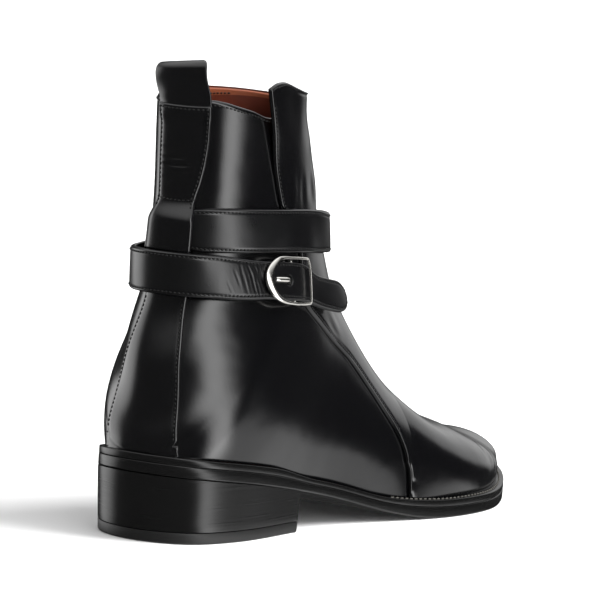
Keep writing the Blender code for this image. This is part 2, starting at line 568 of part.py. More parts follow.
def make_strap():
    """Wound strap with a prong hole, buckle frame, pin and prong."""
    middle, width, off_low, off_high = (smooth(STRAP, k) for k in (1, 2, 3, 4))
    tight = [np.linspace(-11, 20, 7), np.linspace(24, 345, 58), np.linspace(350, 374, 7),
             np.linspace(379, 500, 30),
             [505, 508, 510.4, 512.4, 514, 515.1, 515.7, 516]]
    a = np.concatenate(tight)
    z, w = middle(a), width(a)
    run = on_strap(a, z, off_low(a))
    left = np.concatenate([np.cumsum(np.linalg.norm(np.diff(run[::-1], axis=0), axis=1))[::-1], [0]])
    w = w * np.sqrt(np.clip(1 - (1 - np.clip(left / TIP_ROUND, 0, 1))**2, .02, 1))
    low, high = on_strap(a, z - w / 2, off_low(a)), on_strap(a, z + w / 2, off_high(a))
    forward = np.gradient((low + high) / 2, axis=0)
    away = np.cross(forward, high - low)
    away /= np.linalg.norm(away, axis=1)[:, None]
    outward = on_strap(a, z, off_low(a) + 4) - on_strap(a, z, off_low(a))
    away *= np.sign((away * outward).sum(1))[:, None]
    thick = away * STRAP_THICK
    strap = loft("strap", np.stack([low, high, high + thick, low + thick], 1), BLACK, .35)

    inner, outer = (on_strap(np.array([HOLE_ANGLE]), middle(np.array([HOLE_ANGLE])), d)[0] for d in (.2, 9.0))
    cutter = tube("hole_cutter", np.linspace(inner, outer, 3), HOLE_RADIUS, BLACK, .5, 0.0, sides=12)
    cut = strap.modifiers.new("hole", "BOOLEAN")
    cut.operation, cut.solver, cut.object = "DIFFERENCE", "EXACT", cutter
    bpy.context.view_layer.update()
    pierced = bpy.data.meshes.new_from_object(strap.evaluated_get(bpy.context.evaluated_depsgraph_get()))
    strap.modifiers.clear()
    strap.data = pierced
    bpy.data.objects.remove(cutter, do_unlink=True)

    half = np.array(BUCKLE, float)
    ring = np.concatenate([half, half[-2:0:-1] * (1, -1, 1, 1)])
    fine = np.linspace(0, len(ring), 49)[:-1]
    closed = np.concatenate([ring[-4:], ring, ring[:4]])
    curve = spline(np.arange(-4, len(ring) + 4), closed)(fine)
    tube("buckle_frame", buckle_place(curve[:, 0], curve[:, 1], curve[:, 2]), curve[:, 3], STEEL, .2, 1.0,
         round_trip=True)
    pin = np.array(PIN, float)
    tube("buckle_pin", buckle_place(np.full(len(pin), PIN_PLACE), pin[:, 0], pin[:, 1]), .8, STEEL, .2, 1.0)
    prong = spline(np.arange(len(PRONG)), PRONG)(np.linspace(0, len(PRONG) - 1, 16))
    radius = np.interp(np.linspace(0, 1, 16), [0, .8, 1], [.85, .85, .6])
    tube("buckle_prong", buckle_place(prong[:, 0], 0 * prong[:, 0], prong[:, 1]), radius, STEEL, .2, 1.0)


def make_loop():
    """Pull loop: a flat strip that stands over the collar's back edge."""
    path = np.array(LOOP, float)
    path = spline(np.arange(len(path)), path)(np.linspace(0, len(path) - 1, 20))
    foot = skin(np.array([BACKSTAY_TOP]), np.array([1.0]))[0]
    across = np.linspace(-1, 1, 5)
    mid = []
    for rise, away, half, lean in path:
        y = across * half + lean
        z = foot[2] + rise
        angle = np.degrees(np.arctan2(-y, LEG_AXIS_X - foot[0] - np.abs(y) * .15))
        s, q = on_leg(angle, np.full(len(y), min(z, 204.0)))
        p = skin(s, q)
        flat = ease((rise - 6) / 9)
        x = p[:, 0] * (1 - .55 * flat) + .55 * flat * (foot[0] + 2.2)
        mid.append(np.column_stack([x - away, p[:, 1], z - LOOP_TILT * y * ease(rise / 12)]))
    mid = np.array(mid)
    du, dv = np.gradient(mid, axis=0), np.gradient(mid, axis=1)
    n = np.cross(du, dv)
    n /= np.linalg.norm(n, axis=-1)[..., None]
    n *= -np.sign(n[0, 2, 0])
    shell("pull_loop", mid, mid, mid + n * LOOP_THICK, BLACK, .4)


make_sole()
make_upper()
make_strap()
make_loop()
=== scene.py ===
"""Black calf strap boot, right foot: leather, stitching, buckle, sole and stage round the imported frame."""

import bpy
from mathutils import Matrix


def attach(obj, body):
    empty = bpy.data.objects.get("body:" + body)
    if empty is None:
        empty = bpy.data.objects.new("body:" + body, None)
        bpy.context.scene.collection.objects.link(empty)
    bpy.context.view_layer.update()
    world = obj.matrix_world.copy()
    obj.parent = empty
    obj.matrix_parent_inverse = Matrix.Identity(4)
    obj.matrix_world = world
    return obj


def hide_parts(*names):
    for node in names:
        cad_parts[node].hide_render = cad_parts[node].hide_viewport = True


bl_info = {
    "name": "Strap boot",
    "version": (1, 0, 0),
    "blender": (4, 5, 0),
    "location": "View3D > Sidebar > Boot",
    "description": "Builds the leather, stitching, buckle and stage of a strap boot round its packed frame",
    "category": "Object",
}

from math import radians

import bmesh
import bpy
import numpy as np
from bpy.props import FloatProperty, FloatVectorProperty, PointerProperty
from mathutils import Matrix, Vector, kdtree

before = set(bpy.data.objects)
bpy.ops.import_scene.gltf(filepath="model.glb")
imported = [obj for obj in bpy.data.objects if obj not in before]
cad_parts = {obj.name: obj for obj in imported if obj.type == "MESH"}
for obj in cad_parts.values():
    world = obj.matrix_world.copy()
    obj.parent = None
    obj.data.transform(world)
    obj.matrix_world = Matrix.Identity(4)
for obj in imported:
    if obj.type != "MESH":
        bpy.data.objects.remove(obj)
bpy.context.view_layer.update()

# Sizes of the boot in millimetres; x runs from the heel's back to the toe, y to the inner side, z up
MM = 0.001
SOLE_LENGTH = 296.0
FLAT_START, FLAT_END = 194.0, 228.0
TOE_SPRING = 9.0
TOE_SWING, SWING_START = 4.0, 236.0
GAP = 0.3
WELT_SINK = 0.28
WALL, TOE_WALL = 2.2, 1.0
PANEL_THICK = 1.7
STAY_THICK, STAY_FOOT_THICK = 1.7, 0.9
HEEL_LENGTH = 85.0
TOP_PIECE = 5.0
HEEL_TAPER_BACK = 2.2
HEEL_TAPER_SIDE = 0.035
LEG_AXIS_X = 62.0
STRAP_THICK = 2.4
# Fullness of the last's back, where above the heel seat it comes in, over what length
BACK_FULLNESS, FULL_START, FULL_RUN = 0.84, 8.0, 55.0
# Lift of the front panel's free edge: height, place where it starts, over what length, share across it
PANEL_LIFT, LIFT_START, LIFT_RUN, LIFT_SHARE = 2.4, 330.0, 34.0, 0.16
# Share of that lift at the panel's seam, gap under the panel, share of the edge radius that it takes
LIFT_AT_SEAM, PANEL_GAP, PANEL_ROUND = 0.93, 0.1, 0.75
# Gap under the backstay, height of its cut edge
STAY_GAP, STAY_STEP = 0.05, 0.2
# Backstay over the strap: height of the bulge, then height where it starts and over what length, up and down
BULGE, BULGE_RISE, BULGE_FALL = 4.3, (120.4, 4.0), (136.5, 11.0)
# Backstay over the pull loop's end: stand-off, place where it starts, over what length
LOOP_STAND, LOOP_STAND_START, LOOP_STAND_RUN = 0.9, 358.5, 3.5
# Skiving of the backstay: height where it starts to thicken, over what length
SKIVE_START, SKIVE_RUN = 100.0, 18.0
# Tuck of the forefoot's leather at the welt: share of the width, x where it starts, over what length
TUCK, TUCK_START, TUCK_RUN = 0.03, 140.0, 60.0
# Seams: distance of the thread from the edge that it follows
TOP_SEAM, BAND_SEAM, PANEL_SEAM, PANEL_TOP_SEAM = 1.4, 3.3, 1.6, 1.1
STAY_SEAM, STAY_TOP_SEAM, STRAP_SEAM = 1.7, 1.1, 1.6
# Stitched lengths of the top line and of the band inside it: side, shares of the way from the back seam
TOP_RUNS, BAND_RUNS = [(-1, .115, .47), (1, .115, .72)], [(-1, .02, .5), (1, .02, .72)]
# Stitched lengths of panel and backstay along the last, and the backstay's cross seam over the strap
PANEL_RUN, STAY_RUNS, STAY_CROSS = (146, 361.5), [(267, 308), (336, 363.1)], 338.2
# Share of the backstay's half-width that its cross seams reach to
CROSS_REACH = .86
# Height of the thread's middle over the leather that it holds, and how far the panel's side seams pull it in
TOP_SIT, BAND_SIT, PANEL_SIT, PANEL_SINK = .12, .1, .05, .12
STAY_SIT, CROSS_SIT, STRAP_SIT, WELT_SIT = .03, .17, .02, .1
# Grooves that the thread pulls into the leather: depth, half-width
PANEL_GROOVE, STAY_GROOVE, STRAP_GROOVE = (0.24, 0.42), (0.25, 0.45), (0.2, 0.45)
# Welt stitches: x where they start, share of the welt's width from its edge
WELT_SEAM_START, WELT_SEAM_SHARE = 150.0, 0.52
# Distances of the last mesh rows from a top edge, and of the row before them
EDGE_ROWS, EDGE_BAND = (4.5, 3.2, 2.2, 1.5, 1.1, .8, .5, .28, .1, 0), 6

# x, height of the sole's underside
SHANK = [(0, 29.8), (42, 25.4), (85, 18.7), (120, 11.8), (155, 3.4), (178, 0.5), (194, 0.0)]
# x, outsole thickness, welt thickness
THICKNESS = [(0, 5, 3), (62, 5, 3), (98, 3.9, 2.1), (135, 3.9, 2.1), (180, 5, 3), (296, 5, 3)]
# x, outer half-width, inner half-width of the sole
OUTLINE = [(0, 0, 0), (3.9, 15.5, 15.8), (11.8, 25, 25.6), (25.5, 31, 32.2), (44, 34.3, 35.2),
           (76.5, 34.4, 33.2), (110, 35.1, 30.6), (147, 42.6, 34.5), (181, 51.2, 45.5), (208, 53.8, 51.5),
           (231, 51.4, 52), (253, 44.4, 47.5), (270.5, 34.5, 39.5), (284, 22, 28.5), (292, 9.5, 17.5),
           (296, -TOE_SWING, TOE_SWING)]
# Rounded edges of sole, welt, heel stack and top piece: how far in, how far over the foot or under the top
SOLE_FOOT, SOLE_TOP = [(.6, 0), (.2, .1), (.03, .35), (0, .8)], [(0, .4), (.08, .12), (.3, 0)]
WELT_FOOT = [(.3, 0), (.08, .1), (.02, .3)]
WELT_TOP = [(.02, .55), (.12, .2), (.4, .03), (.8, 0), (2.2, .05)]
WELT_HEM, WELT_HEM_DROP, WELT_LAP = 2.6, .1, .12
STACK_FOOT, STACK_LAP = [(.35, 0), (.05, .25), (0, .7)], .12
LIFT_FOOT, LIFT_TOP = [(.9, 0), (.3, .25), (0, .8)], [(0, .5), (.1, .1), (.4, 0)]
# x, how far the upper stands in from the sole's edge
FEATHER = [(0, 2.6), (69, 2.4), (108, 2.6), (196, 4.2), (296, 4.6)]

# Sections of the last: keel x, keel z (None on the feather line), crest x, crest z, outer width, inner width,
# height of the widest place, pinch of the upper half, sideways shift of the crest
SECTIONS = [
    ("toe tip", 291.4, None, 291.4, 17.8, 0.0, 0.0, .30, -.10, 4.0),
    ("nose", 290.1, None, 290.9, 23.2, 10.2, 10.6, .32, -.02, 4.0),
    ("toe front", 284.7, None, 284.7, 26.6, 21.4, 22.2, .34, .00, 4.0),
    ("toe box", 273.4, None, 272.4, 27.8, 29.7, 29.4, .34, .04, 3.8),
    ("toe back", 256.8, None, 255.8, 30.0, 37.7, 37.4, .33, .07, 3.2),
    ("ball front", 233.2, None, 232.3, 37.1, 44.7, 44.4, .31, .10, 2.2),
    ("ball", 207.8, None, 206.8, 44.1, 48.2, 46.4, .29, .13, 1.2),
    ("waist", 180.3, None, 182.3, 57.1, 45.2, 41.9, .28, .18, .8),
    ("instep low", 150.9, None, 160.7, 75.7, 42.0, 37.0, .27, .25, .5),
    ("instep", 117.6, None, 143.5, 97.0, 38.0, 34.0, .27, .28, .3),
    ("instep top", 82.3, None, 131.5, 116.7, 35.4, 34.8, .24, .28, .0),
    ("heel girth", 47.0, None, 123.3, 136.2, 36.3, 37.8, .24, .24, .0),
    ("heel seat", 19.6, None, 118.9, 146.5, 35.6, 37.6, .30, .20, .0),
    ("heel back", 2.6, None, 117.2, 154.0, 34.6, 36.6, .38, .18, .0),
    ("counter", 4.7, 52.0, 115.7, 160.0, 32.4, 33.8, .42, .14, .0),
    ("counter top", 8.0, 74.0, 113.9, 167.0, 28.9, 29.9, .45, .12, .0),
    ("ankle", 15.9, 98.0, 111.0, 174.0, 26.5, 27.5, .47, .10, .0),
    ("strap", 19.6, 122.0, 107.4, 180.0, 25.7, 27.1, .49, .08, .0),
    ("shaft", 20.0, 146.0, 103.9, 186.0, 25.0, 26.9, .50, .06, .0),
    ("shaft top", 18.8, 170.0, 101.8, 192.0, 25.1, 27.1, .50, .04, .0),
    ("collar", 17.7, 194.0, 101.1, 198.0, 25.7, 27.2, .50, .04, .0),
    ("collar top", 17.1, 210.0, 100.9, 203.0, 26.3, 27.3, .50, .04, .0),
]
BACK = 13

# Place along the last, share of the way from feather line or back seam to the crest
PANEL_EDGE = [(131.5, 0), (132.2, .10), (133.6, .28), (135.6, .42), (138, .507), (142, .552), (147, .584),
              (155, .612), (167.5, .639), (192.5, .668), (220.5, .657), (249, .645), (275, .628), (303, .567),
              (319, .493), (335, .457), (351, .430), (360, .408), (369, .385)]
BACKSTAY_OUTER = [(260.2, 0), (261, .022), (262, .048), (263, .077), (264, .103), (265.4, .14), (267.5, .16),
                  (279, .148), (294, .132), (309, .098), (325, .088), (337.5, .088), (343, .112), (349, .133),
                  (356, .144), (369, .144)]
BACKSTAY_INNER = [(259.6, 0), (260.5, .03), (261.5, .06), (262.5, .09), (264, .13), (265.4, .165),
                  (267.5, .187), (277, .20), (292, .18), (308, .138), (325, .104), (339, .098), (350, .10),
                  (369, .10)]
# Share of the way from the back seam to the crest, end of the wall along the last
TOP_OUTER = [(0, 364.4), (.1, 365.5), (.144, 365.5), (.211, 364.8), (.278, 363.2), (.35, 361), (.422, 357.6),
             (.55, 354), (.75, 351), (1, 348)]
TOP_INNER = [(0, 364.4), (.1, 365.4), (.3, 365.2), (.4, 364.4), (.55, 363.3), (.65, 361.4), (.74, 358.7),
             (.83, 354.9), (.9, 351.6), (1, 348)]
PANEL_TOP_OUTER = [(0, 371), (.43, 371.4), (.49, 371.3), (.567, 368.9), (.633, 366.2), (.75, 361.5),
                   (.88, 354.6), (1, 349)]
PANEL_TOP_INNER = [(0, 365.6), (.4, 365.5), (.55, 364.4), (.65, 362.4), (.74, 359.7), (.83, 355.9),
                   (.9, 352.6), (1, 349)]
BACKSTAY_TOP, STAY_END = 362.4, 364.1
PANEL_END = 364.0
# Upper corners of the front panel: drop, share across, bend
CORNER_DROP, CORNER_SHARE, CORNER_BEND = 2.6, .075, 2.2

# Angle round the leg from the back over the outer side, height of the middle, width, stand-off low and high
STRAP = [(-11, 133.9, 17.0, .3, .3), (6, 133.9, 17.2, .4, .4), (18, 134.0, 18.9, .4, .4),
         (36, 134.3, 19.2, .4, .4), (67, 134.1, 19.2, .5, .5), (100, 133.7, 19.2, 1.9, 2.0),
         (120, 133.3, 18.9, 2.5, 3.2), (150, 131.4, 18.2, 2.6, 5.0), (180, 127.2, 18.0, 2.6, 5.6),
         (215, 121.4, 18.0, 2.5, 4.6), (245, 118.2, 18.2, 2.4, 2.8), (275, 116.0, 18.4, 1.2, 1.6),
         (310, 114.6, 18.8, 1.8, 3.4), (325, 114.3, 19.0, 2.8, 5.2), (338, 114.2, 19.0, 3.6, 6.4),
         (352, 114.3, 19.2, 4.4, 7.0), (368, 114.4, 19.2, 4.0, 6.2), (384, 114.3, 19.0, 2.6, 3.2),
         (400, 113.6, 18.1, 2.2, 2.4), (413, 113.1, 17.0, 2.2, 2.2), (424, 112.9, 16.4, 2.2, 2.2),
         (447, 112.3, 16.4, 2.2, 2.2), (470, 111.2, 16.2, 2.2, 2.2), (480, 109.0, 15.0, 2.6, 2.6),
         (490, 106.4, 14.4, 3.4, 3.4), (502, 103.9, 14.4, 4.8, 4.8), (516, 100.9, 14.4, 6.9, 6.9)]
TIP_ROUND = 10.5
HOLE_ANGLE, HOLE_RADIUS, HOLE_REACH = 447.5, 2.4, (.2, 9.0)
# Section of the strap: thickness and radius at its edge, crown; height and radius of the round underneath
STRAP_EDGE, STRAP_ROUND, STRAP_CROWN = .35, .85, .12
UNDER_EDGE, UNDER_ROUND = .3, .6

# Buckle loop: place along the strap, place across it, stand-off of the wire's middle, wire radius
BUCKLE_ANGLE, BUCKLE_HEIGHT, BUCKLE_SLOPE = 447.0, 112.4, -.055
BUCKLE = [(-14.2, 0, 6.5, 1.6), (-13.4, 3.4, 6.5, 1.55), (-11.2, 6.4, 6.4, 1.35), (-7.6, 8.6, 6.0, 1.0),
          (-3.2, 9.5, 5.2, .75), (3, 9.6, 4.6, .6), (9, 9.6, 4.7, .55), (12.9, 9.45, 5.4, .55),
          (14.0, 8.8, 6.0, .5), (14.2, 5, 6.1, .5), (14.2, 0, 6.1, .5)]
# Lean of the wire's section outwards, half its height at most, power that squares its section
DOME, WIRE_TALL, WIRE_SQUARE = .3, .85, .5
PIN_PLACE, PIN_RADIUS = 7.4, .8
# Place across the strap, stand-off
PIN = [(-9.75, 2.5), (-9.5, 1.7), (-8.9, 1.25), (-7.5, 1.15), (0, 1.15), (7.5, 1.15), (8.9, 1.25), (9.5, 1.7),
       (9.75, 2.5)]
# Place along the strap, stand-off; share of the way to the tip, radius
PRONG = [(5.4, 1.2), (2.2, 1.25), (.6, 1.9), (-.5, 3.4), (-1.5, 5.0), (-2.9, 5.9), (-5.4, 5.95), (-10.0, 5.9)]
PRONG_RADIUS = [(0, .85), (.3, .85), (.5, 1.2), (.96, 1.2), (1, .95)]

# Pull loop: height over the backstay's top, distance from the wall, half-width, sideways lean
LOOP = [(-2.5, .3, 12.4, -1), (.6, .35, 12.5, -1), (4, .35, 12.5, -.9), (8, .9, 12.7, -.2),
        (12.4, 1.5, 13.1, 1), (16.6, 1.5, 13.4, 1.9), (19, .6, 13.1, 2.4), (20.1, -1.6, 12.0, 3.6),
        (19.4, -3.8, 11.6, 3.8), (16.6, -5.0, 10.8, 4.2), (11.5, -5.2, 10.2, 4.4), (6, -4.8, 9.8, 4.2),
        (0, -4.3, 9.6, 3.8), (-8, -4.3, 9.6, 3.4), (-18, -4.3, 9.6, 3.4)]
LOOP_TILT, LOOP_TILT_RISE = .12, 12
LOOP_THICK, LOOP_ROUND = 1.3, .65
# Flat top of the loop: rise where it starts, over what length, how flat, distance before the back seam
LOOP_FLAT_START, LOOP_FLAT_RUN, LOOP_FLAT, LOOP_FLAT_IN = 6, 9, .55, 2.2
# Height up to which the loop follows the leg, and how much its sides draw in round it
LOOP_LEG_TOP, LOOP_DRAW = 204.0, .15

# Creases: piece, start and end on the last (s, q), half-width, depth; a negative depth is a ridge
CREASES = [
    ("panel", 62, -.52, 50, -.30, 2.6, .45),
    ("panel", 54, -.60, 44, -.42, 2.0, .30),
    ("panel", 326, -.445, 306, -.43, 2.2, -.45),
    ("panel", 318, -.37, 296, -.355, 2.4, .35),
    ("panel", 304, -.24, 276, -.24, 2.6, -.45),
    ("panel", 224, -.30, 200, -.30, 2.0, -.3),
    ("panel", 226, -.355, 206, -.345, 1.3, .3),
    ("panel", 200, -.338, 193, -.374, .8, .4),
    ("backstay", 348.0, -.915, 347.4, .915, .6, .4),
    ("backstay", 350.0, -.935, 349.4, .93, .55, .36),
    ("backstay", 346.2, -.91, 346.0, .985, .5, .3),
    ("backstay", 352.0, -.96, 352.3, .92, .5, .26),
    ("backstay", 344.6, -.95, 344.2, .94, .45, .2),
]
# Creases of the strap: angle and share across at both ends, half-width in millimetres, depth
STRAP_CREASES = [
    (395, .45, 400, -.35, .5, .05), (398.5, .8, 405, -.7, .6, .08), (402, .25, 406.5, -.8, .45, .06),
    (403.5, .85, 409, .1, .5, .08), (407, .5, 412.5, -.7, .55, .1), (409.5, .85, 413.5, .3, .4, .07),
    (411.5, .1, 416, -.8, .5, .08), (414, .75, 420, -.35, .6, .1), (418, .8, 421.5, .2, .4, .06),
    (418.5, .0, 423, -.75, .5, .08), (422, .55, 426, -.5, .45, .07), (391, -.1, 396, -.8, .5, .05),
]
# Half the strap's width, by which its creases' shares across are measured
CREASE_HALF = 9

# Camera: direction it stands in from the boot, elevation, roll, distance, pixels per millimetre, and where
# its axis falls in the picture
CAMERA_TURN, CAMERA_RISE, CAMERA_ROLL = 58.934, 5.793, 4.2
CAMERA_AWAY, CAMERA_SCALE, CAMERA_AXIS = 2.0, 2.23616, (278.331, 296.183)
CAMERA_AIM = (-0.038, 0.00087, 0.1)
PICTURE = 600
SENSOR = 36.0
FLOOR_HALF = 40
# Soft patches of the studio seen in the leather: azimuth from the camera to the picture's right, elevation,
# cosine at the patch's rim and at its core, brightness
ROOM_DARK = .03
LOBES = [(0, 90, .36, .80, 1.4), (157, 22, .872, .955, .78), (-120, 3, .866, .985, 2.4),
         (108, -60, .635, .705, 1.0), (-45, 5, .1, .8, .08)]
# Long softbox seen in the leather: azimuth, elevation, lean from upright, angles from its middle line to
# where it ends and to where it is full, the same along its length, brightness
STRIP = (48, 6, 43, 16, 2, 56, 40, 4.8)
# Share of the studio's patches that lights matt surfaces
DIFFUSE_SHARE = .62
# Side light of the floor: azimuth, elevation, distance, side, radiance, and the point it is aimed at
SIDE_LIGHT = (60, 25, 1.3, .9, 1.2)
SIDE_AIM = (-.03, 0, .08)
# Overhead light: azimuth, elevation, angle it fills, strength
OVERHEAD = (95, 46, 42, 5.4)


def linear(code):
    """Linear colour of an sRGB hex code."""
    parts = [int(code[i:i + 2], 16) / 255 for i in (1, 3, 5)]
    return tuple(c / 12.92 if c <= .04045 else ((c + .055) / 1.055)**2.4 for c in parts)


def spline(knots, values):
    """Natural cubic spline through the knots, as a function."""
    t, p = np.asarray(knots, float), np.asarray(values, float)
    n, h = len(t), np.diff(t)
    a, r = np.zeros((n, n)), np.zeros((n,) + p.shape[1:])
    a[0, 0] = a[-1, -1] = 1.0
    for i in range(1, n - 1):
        a[i, i - 1:i + 2] = h[i - 1], 2 * (h[i - 1] + h[i]), h[i]
        r[i] = 6 * ((p[i + 1] - p[i]) / h[i] - (p[i] - p[i - 1]) / h[i - 1])
    m = np.linalg.solve(a, r)

    def at(x):
        x = np.asarray(x, float)
        k = np.clip(np.searchsorted(t, x, side="right") - 1, 0, n - 2)
        d, e, w = x - t[k], t[k + 1] - x, h[k]
        if p.ndim > 1:
            d, e, w = d[..., None], e[..., None], w[..., None]
        return ((m[k] * e**3 + m[k + 1] * d**3) / (6 * w) + (p[k] / w - m[k] * w / 6) * e
                + (p[k + 1] / w - m[k + 1] * w / 6) * d)
    return at


def smooth(table, column=1):
    """Curve through a table that never overshoots its rows, as a function."""
    t = np.array([row[0] for row in table], float)
    p = np.array([row[column] for row in table], float)
    h, g = np.diff(t), np.diff(p) / np.diff(t)
    m = np.zeros(len(t))
    w1, w2 = 2 * h[1:] + h[:-1], h[1:] + 2 * h[:-1]
    same = g[1:] * g[:-1] > 0
    m[1:-1][same] = ((w1 + w2)[same]) / (w1[same] / g[:-1][same] + w2[same] / g[1:][same])
    m[0], m[-1] = g[0], g[-1]

    def at(x):
        x = np.clip(np.asarray(x, float), t[0], t[-1])
        k = np.clip(np.searchsorted(t, x, side="right") - 1, 0, len(t) - 2)
        u = (x - t[k]) / h[k]
        return (p[k] * (1 + 2 * u) * (1 - u)**2 + h[k] * m[k] * u * (1 - u)**2
                + p[k + 1] * u * u * (3 - 2 * u) + h[k] * m[k + 1] * u * u * (u - 1))
    return at


def ease(x):
    """Soft step from 0 to 1."""
    x = np.clip(x, 0, 1)
    return x * x * (3 - 2 * x)


def quarter_round(x):
    """Height of a rounded edge from 0 at the edge to 1 at its radius."""
    return np.sqrt(np.clip(1 - (1 - np.clip(x, 0, 1))**2, 0, 1))


def rounded(depth, radius):
    """Share of its height that a rounded edge has reached at a distance from it, never quite 0."""
    return quarter_round((depth + .02) / radius)


def unit(vectors):
    """Vectors at length 1."""
    return vectors / np.linalg.norm(vectors, axis=-1)[..., None]


def lengths(points):
    """Length of a line from its first point to each point."""
    return np.concatenate([[0], np.cumsum(np.linalg.norm(np.diff(points, axis=0), axis=1))])


def sweep(table, count):
    """Points spread along a smooth curve through a table's rows."""
    return spline(np.arange(len(table)), table)(np.linspace(0, len(table) - 1, count))


shank = spline([r[0] for r in SHANK], [r[1] for r in SHANK])
outsole_thick, welt_thick = smooth(THICKNESS, 1), smooth(THICKNESS, 2)
feather_inset = smooth(FEATHER)


def under(x):
    """Height of the outsole's underside."""
    x = np.asarray(x, float)
    toe = TOE_SPRING * (np.clip(x - FLAT_END, 0, None) / (SOLE_LENGTH - FLAT_END))**2
    return np.where(x < FLAT_START, np.clip(shank(np.clip(x, 0, FLAT_START)), 0, None), toe)


def welt_base(x):
    """Height of the welt's underside."""
    return under(x) + outsole_thick(x) + GAP


def feather_z(x):
    """Height of the feather line, where the upper meets the welt."""
    return welt_base(x) + welt_thick(x) + GAP


def turn(x):
    """Angle that spreads points evenly round the sole's two ends."""
    return np.arccos(np.clip(1 - 2 * np.asarray(x, float) / SOLE_LENGTH, -1, 1))


outer_half = spline([turn(r[0]) for r in OUTLINE], [r[1] for r in OUTLINE])
inner_half = spline([turn(r[0]) for r in OUTLINE], [r[2] for r in OUTLINE])


def sole_loop(count):
    """Edge of the sole from the heel's back over the outer side to the toe and back."""
    u = np.linspace(0, np.pi, count)
    x = SOLE_LENGTH * (1 - np.cos(u)) / 2
    return np.concatenate([np.stack([x, -outer_half(u)], 1), np.stack([x, inner_half(u)], 1)[-2:0:-1]])


def inset(loop, amount):
    """Loop moved inwards."""
    q = np.roll(loop, -1, 0) - np.roll(loop, 1, 0)
    n = np.stack([-q[:, 1], q[:, 0]], 1)
    return loop + unit(n) * np.broadcast_to(amount, len(loop))[:, None]


def halves(loop, count):
    """Outer and inner half-widths of a loop as functions of x."""
    a = loop[:count]
    b = np.concatenate([loop[:1], loop[:count - 1:-1], loop[count - 1:count]])
    return lambda x: (np.interp(x, a[:, 0], -a[:, 1]), np.interp(x, b[:, 0], b[:, 1]))


FINE = 160
edge_fine = sole_loop(FINE)
feather = halves(inset(edge_fine, feather_inset(edge_fine[:, 0])), FINE)
CENTRE = np.array([SOLE_LENGTH / 2, (edge_fine[:, 1].max() + edge_fine[:, 1].min()) / 2, 0])

sections = np.array([[r[1], feather_z(r[1]) if r[2] is None else r[2], *r[3:]] for r in SECTIONS], float)
steps = (np.linalg.norm(np.diff(sections[:, 0:2], axis=0), axis=1)
         + np.linalg.norm(np.diff(sections[:, 2:4], axis=0), axis=1))
places = np.concatenate([[0], np.cumsum(steps / 2)])
form = spline(places, sections)
BACK_PLACE = places[BACK]


def skin(s, q):
    """Point of the last: s along it, q from -1 at the outer feather line over 0 at the crest to 1."""
    s, q = np.broadcast_arrays(np.asarray(s, float), np.asarray(q, float))
    q = np.where(np.abs(q) > 1, (q + 1) % 2 - 1, q)
    side, t = np.where(q < 0, -1.0, 1.0), 1 - np.abs(q)
    kx, kz, cx, cz, wide_out, wide_in, vm, pinch, yc = np.moveaxis(form(s), -1, 0)
    on_sole = s <= BACK_PLACE
    kz = np.where(on_sole, feather_z(kx), kz)
    toe_end = SOLE_LENGTH - FEATHER[-1][1]
    yk = np.where(on_sole, TOE_SWING * np.clip((kx - SWING_START) / (toe_end - SWING_START), 0, 1)**2, 0.0)
    fo, fi = feather(kx)
    foot = np.where(on_sole, np.where(side < 0, fo + yk, fi - yk), 0.0)
    w = np.maximum(np.where(side < 0, wide_out, wide_in), np.maximum(foot + .05, .02))
    tuck = 1 - TUCK * ease((kx - TUCK_START) / TUCK_RUN)
    start = np.arccos(np.clip(foot * tuck / w, 0, 1))
    low = t < .5
    b = np.where(low, -start * (1 - 2 * t), (2 * t - 1) * np.pi / 2)
    v = vm + np.where(low, vm / np.maximum(np.sin(start), 1e-6), 1 - vm) * np.sin(b)
    full = 1 + (BACK_FULLNESS - 1) * ease((s - BACK_PLACE - FULL_START) / FULL_RUN)
    c = np.clip(np.cos(b), 0, 1)
    y = w * np.where(low, c**full, c * (1 - pinch * np.sin(b)**2))
    return np.stack([kx + (cx - kx) * v, side * y + yk * (1 - v) + yc * v, kz + (cz - kz) * v], -1)


def normal(s, q, e=.012):
    """Outward direction of the last."""
    s, q = np.broadcast_arrays(np.asarray(s, float), np.asarray(q, float))
    back = s > BACK_PLACE
    qa = np.where(back, q - e, np.clip(q - e, -1, 1 - 2 * e))
    qb = np.where(back, q + e, np.clip(q + e, -1 + 2 * e, 1))
    qc = np.where(back, q, np.clip(q, -1 + e, 1 - e))
    along = skin(np.maximum(s + 1, .9), qc) - skin(np.clip(s - 1, .4, None), qc)
    n = np.cross(skin(s, qb) - skin(s, qa), along)
    n[..., 1] = np.where(((s >= BACK_PLACE) & (np.abs(q) > .999)) | (s < .01), 0, n[..., 1])
    return n / (np.linalg.norm(n, axis=-1)[..., None] + 1e-12)


def out(s, q, distance):
    """Point at a distance from the last."""
    return skin(s, q) + normal(s, q) * np.asarray(distance, float)[..., None]


